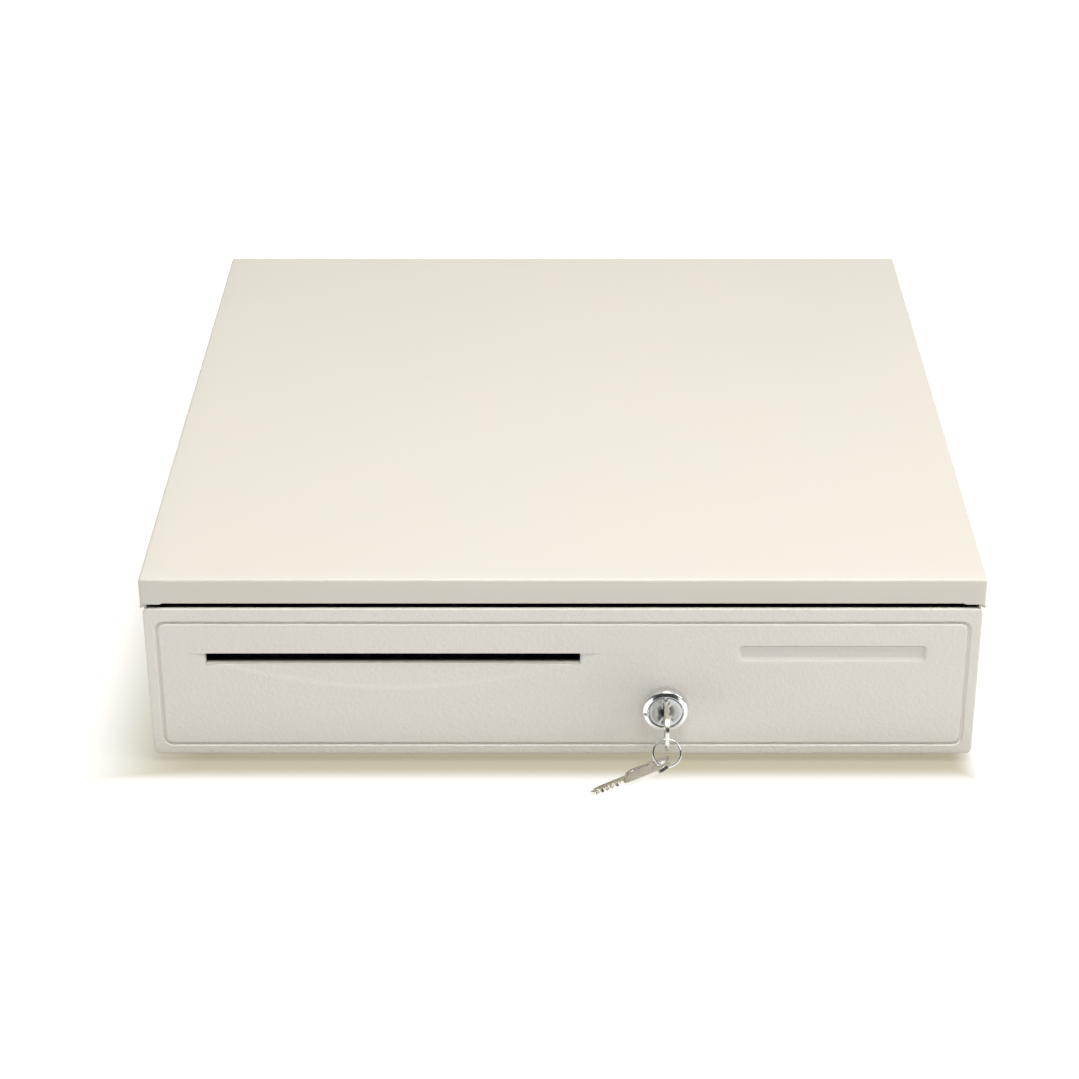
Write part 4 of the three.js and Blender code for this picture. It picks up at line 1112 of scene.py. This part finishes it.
def build_clips():
    for i in range(1, 6):
        node = f"note_clip_{i}"
        c = middle(node)
        axle = middle("clip_axle")
        reach, drop, coil = 104, 38, 3.2
        top, under = [], []
        steps = 24
        for s in range(steps + 1):
            t = s / steps
            y = -3 - (reach - 3) * t
            z = -drop * t - 2.2 * math.sin(math.pi * t)
            thick = 1.7 - 0.5 * t
            top.append((axle.y + y, axle.z + z + thick))
            under.append((axle.y + y, axle.z + z))
        toe = [(axle.y - reach - 3, axle.z - drop + 1.0), (axle.y - reach - 6.6, axle.z - drop + 4.2)]
        tip = [(axle.y - reach - 6.0, axle.z - drop + 5.2), (axle.y - reach - 2.4, axle.z - drop + 2.5)]
        arm = prism("arm", under + toe + tip + top[::-1], "X", c.x - 6, c.x + 6)
        spine = top[:-4]
        crest = [(y, z + 1.8 - 1.2 * k / steps) for k, (y, z) in enumerate(spine)]
        rib = prism("rib", [(y, z - 0.2) for y, z in spine] + crest[::-1], "X", c.x - 1, c.x + 1)
        half_hub = [(2.06, 8), (3.6, 8), (4.0, 7.6)]
        sleeve = [(r, -along) for r, along in half_hub] + half_hub[::-1]
        hub = lathe("hub", sleeve, (c.x, axle.y, axle.z), "X", 48)
        cut(arm, prism("bore", arc(axle.y, axle.z, 3.0, 0, 345, 23), "X", c.x - 9, c.x + 9))
        soften(arm, 0.5, 2)
        soften(rib, 0.3, 2)
        clip = join(hub, bake(arm), bake(rib))
        clip.name = f"clip_arm_{i}"
        ready(clip, node, "clip_plastic", [node], smooth=40)
        turns = []
        for s in range(97):
            a = TWO_PI * s / 16
            x = c.x + 8.6 + 0.9 * s / 16
            turns.append((x, axle.y + coil * math.cos(a), axle.z + coil * math.sin(a)))
        spring = tube(f"clip_spring_{i}", turns, 0.35, 8)
        ready(spring, "drawer", "spring_steel")


# ---- rear latch pieces
def build_latch():
    lo, hi = ends("eject_spring")
    c = (lo + hi) / 2
    wire, turns = 0.7, 6
    radius = (hi.x - lo.x) / 2 - wire
    points = []
    steps = turns * 24
    for i in range(steps + 1):
        t = i / steps
        along = t - 0.06 * math.sin(TWO_PI * t)
        a = TWO_PI * turns * t
        y = lo.y + wire + (hi.y - lo.y - 2 * wire) * along
        points.append((c.x + radius * math.cos(a), y, c.z + radius * math.sin(a)))
    ready(tube("kick_out_spring", points, wire, 12), "casing", "spring_steel", ["eject_spring"])

    lo, hi = ends("solenoid_coil")
    c = (lo + hi) / 2
    r = (hi.x - lo.x) / 2
    flange = 1.4
    profile = [(3.6, lo.z), (r, lo.z), (r, lo.z + flange), (r - 1.4, lo.z + flange)]
    profile += [(r - 1.4, hi.z - flange), (r, hi.z - flange), (r, hi.z), (3.6, hi.z)]
    ready(lathe("coil_bobbin", profile, (c.x, c.y, 0), "Z", 64), "casing", "coil_tape", ["solenoid_coil"])


def build_socket():
    lo, hi = ends("jack_socket")
    c = (lo + hi) / 2
    body = block("socket_shell", (lo.x + 2.5, lo.y, lo.z + 2), (hi.x - 2.5, hi.y, hi.z - 2))
    flange = block("socket_flange", (lo.x, hi.y - 3.5, lo.z), (hi.x, hi.y - 2.1, hi.z))
    cut(body, flange, operation="UNION")
    mouth = block("mouth", (c.x - 5.5, hi.y - 12, c.z - 4.5), (c.x + 5.5, hi.y + 1, c.z + 3))
    key_way = block("key_way", (c.x - 3, hi.y - 12, c.z - 6.2), (c.x + 3, hi.y + 1, c.z - 4))
    cut(body, mouth, key_way)
    soften(body, 0.25, 2)
    ready(body, "casing", "black_plastic", ["jack_socket"])
    for i in range(6):
        x = c.x - 2.5 + i
        path = [(x, hi.y - 11.8, c.z + 2.7), (x, hi.y - 2.6, c.z + 2.5)]
        path += [(x, hi.y - 4.2, c.z + 1.4), (x, hi.y - 10, c.z - 2.2)]
        contact = tube(f"socket_contact_{i + 1}", path, 0.22, 6)
        ready(contact, "casing", "key_nickel")


# ---- kept CAD nodes
def keep_node(node, slot, width, segments=2):
    """A carried-over node: flat faces merged, edges rounded, its own material."""
    obj = NODES[node]
    merge = obj.modifiers.new("merge", "DECIMATE")
    merge.decimate_type = "DISSOLVE"
    merge.angle_limit = math.radians(1)
    soften(obj, width, segments, 40)
    obj.data.shade_smooth()
    obj.data.set_sharp_from_angle(angle=math.radians(30))
    obj.material_slots[0].link = "OBJECT"
    obj.material_slots[0].material = MATERIALS[slot]


def dress_kept_nodes():
    slots = {s["node"]: s["material_slot"] for s in frame["record"]["subparts"]}
    for node, obj in NODES.items():
        if not obj.hide_render:
            keep_node(node, slots[node], 0.25)


# ---- stage
def build_floor():
    """A pale floor that emits light, with a painted shadow round the object in its colour and its emission;
    away from the object it brightens like a backdrop under lamps.
    """
    bpy.ops.mesh.primitive_plane_add(size=14, location=(0, 0, FLOOR_Z * MM))
    floor = bpy.context.object
    floor.name = "floor"
    g = Graph("floor_paper")
    x, y, _ = g.split(g.coords)
    side, depth = COVER_HIGH.x * MM, COVER_HIGH.y * MM
    # Where the painted shadow starts on each side, and how far the left one is stretched.
    right_start, left_start, left_share = 0.016, 0.0105, 0.2
    right = g.sum(x, side - right_start, "SUBTRACT")
    left = g.sum(g.times(x, -left_share), left_share * side - left_start, "SUBTRACT")
    front = g.sum(g.times(y, -1), depth, "SUBTRACT")
    back = g.sum(y, depth, "SUBTRACT")
    away = g.sum(g.sum(left, right, "MAXIMUM"), g.sum(front, back, "MAXIMUM"), "MAXIMUM")
    # Painted shadow: near the object the floor's colour and emission are dark tan, reaching widest on the
    # left and least on the right, then rise to white.
    lit = g.span(away, 0.005, 0.023, 0.0, 1.0)
    fibre = g.noise(900, 3)
    shade = g.mix(lit, (0.16, 0.15, 0.12), (0.24, 0.24, 0.23))
    glow_with_painted_shadow = g.mix(lit, (0.40, 0.37, 0.27), (0.90, 0.90, 0.89))
    rough = g.span(fibre, 0.3, 0.7, 0.75, 0.9)
    normal = g.bump(fibre, 0.05, 0.0001)
    paper = g.finish(shade, rough, 0.0, normal, Emission_Color=glow_with_painted_shadow, Emission_Strength=1.0)
    floor.data.materials.append(paper)


def build_world():
    """A bright ceiling over a dim room: metal reflects both."""
    world = bpy.data.worlds.new("studio")
    bpy.context.scene.world = world
    world.use_nodes = True
    tree = world.node_tree
    background = tree.nodes["Background"]
    coords = tree.nodes.new("ShaderNodeTexCoord")
    split = tree.nodes.new("ShaderNodeSeparateXYZ")
    tree.links.new(coords.outputs["Generated"], split.inputs[0])
    level = tree.nodes.new("ShaderNodeMapRange")
    level.interpolation_type = "SMOOTHSTEP"
    tree.links.new(split.outputs["Z"], level.inputs["Value"])
    for key, value in (("From Min", 0.6), ("From Max", 0.8), ("To Min", 0.06), ("To Max", 0.85)):
        level.inputs[key].default_value = value
    tree.links.new(level.outputs["Result"], background.inputs["Strength"])
    background.inputs["Color"].default_value = (1, 0.995, 0.985, 1)


def softbox(name, place_at, aim, size, power):
    data = bpy.data.lights.new(name, "AREA")
    data.shape = "RECTANGLE"
    data.size, data.size_y = size
    data.energy = power
    lamp = link(name, data)
    lamp.location = place_at
    lamp.rotation_euler = (Vector(aim) - Vector(place_at)).to_track_quat("-Z", "Y").to_euler()


def build_stage():
    build_floor()
    build_world()
    softbox("front_top", (0.3, -0.7, 1.8), (0, -0.1, 0.05), (1.2, 0.45), 12)
    softbox("overhead", (0.1, 0.04, 1.9), (0, 0.0, 0.05), (1.8, 0.4), 19)
    softbox("right", (1.6, -0.5, 1.1), (0, -0.1, 0.05), (0.9, 0.9), 9)


def build_camera():
    """The photograph's viewing angle: a long lens, 28 degrees down, square on to the front."""
    data = bpy.data.cameras.new("camera")
    data.sensor_width = 36
    data.lens = 87.83
    data.shift_x = -0.0208
    camera = link("camera", data)
    camera.location = (-0.0004, -1.3192, 0.7116)
    camera.rotation_euler = (math.radians(90 - 27.91), 0, 0)
    bpy.context.scene.camera = camera
    bpy.context.scene.view_settings.view_transform = "Standard"


build_cover()
build_base()
build_pan()
build_panel()
build_lock()
build_keys()
build_feet()
build_screws()
build_slides()
build_till()
build_coin_tray()
build_clips()
build_latch()
build_socket()
dress_kept_nodes()
build_stage()
build_camera()
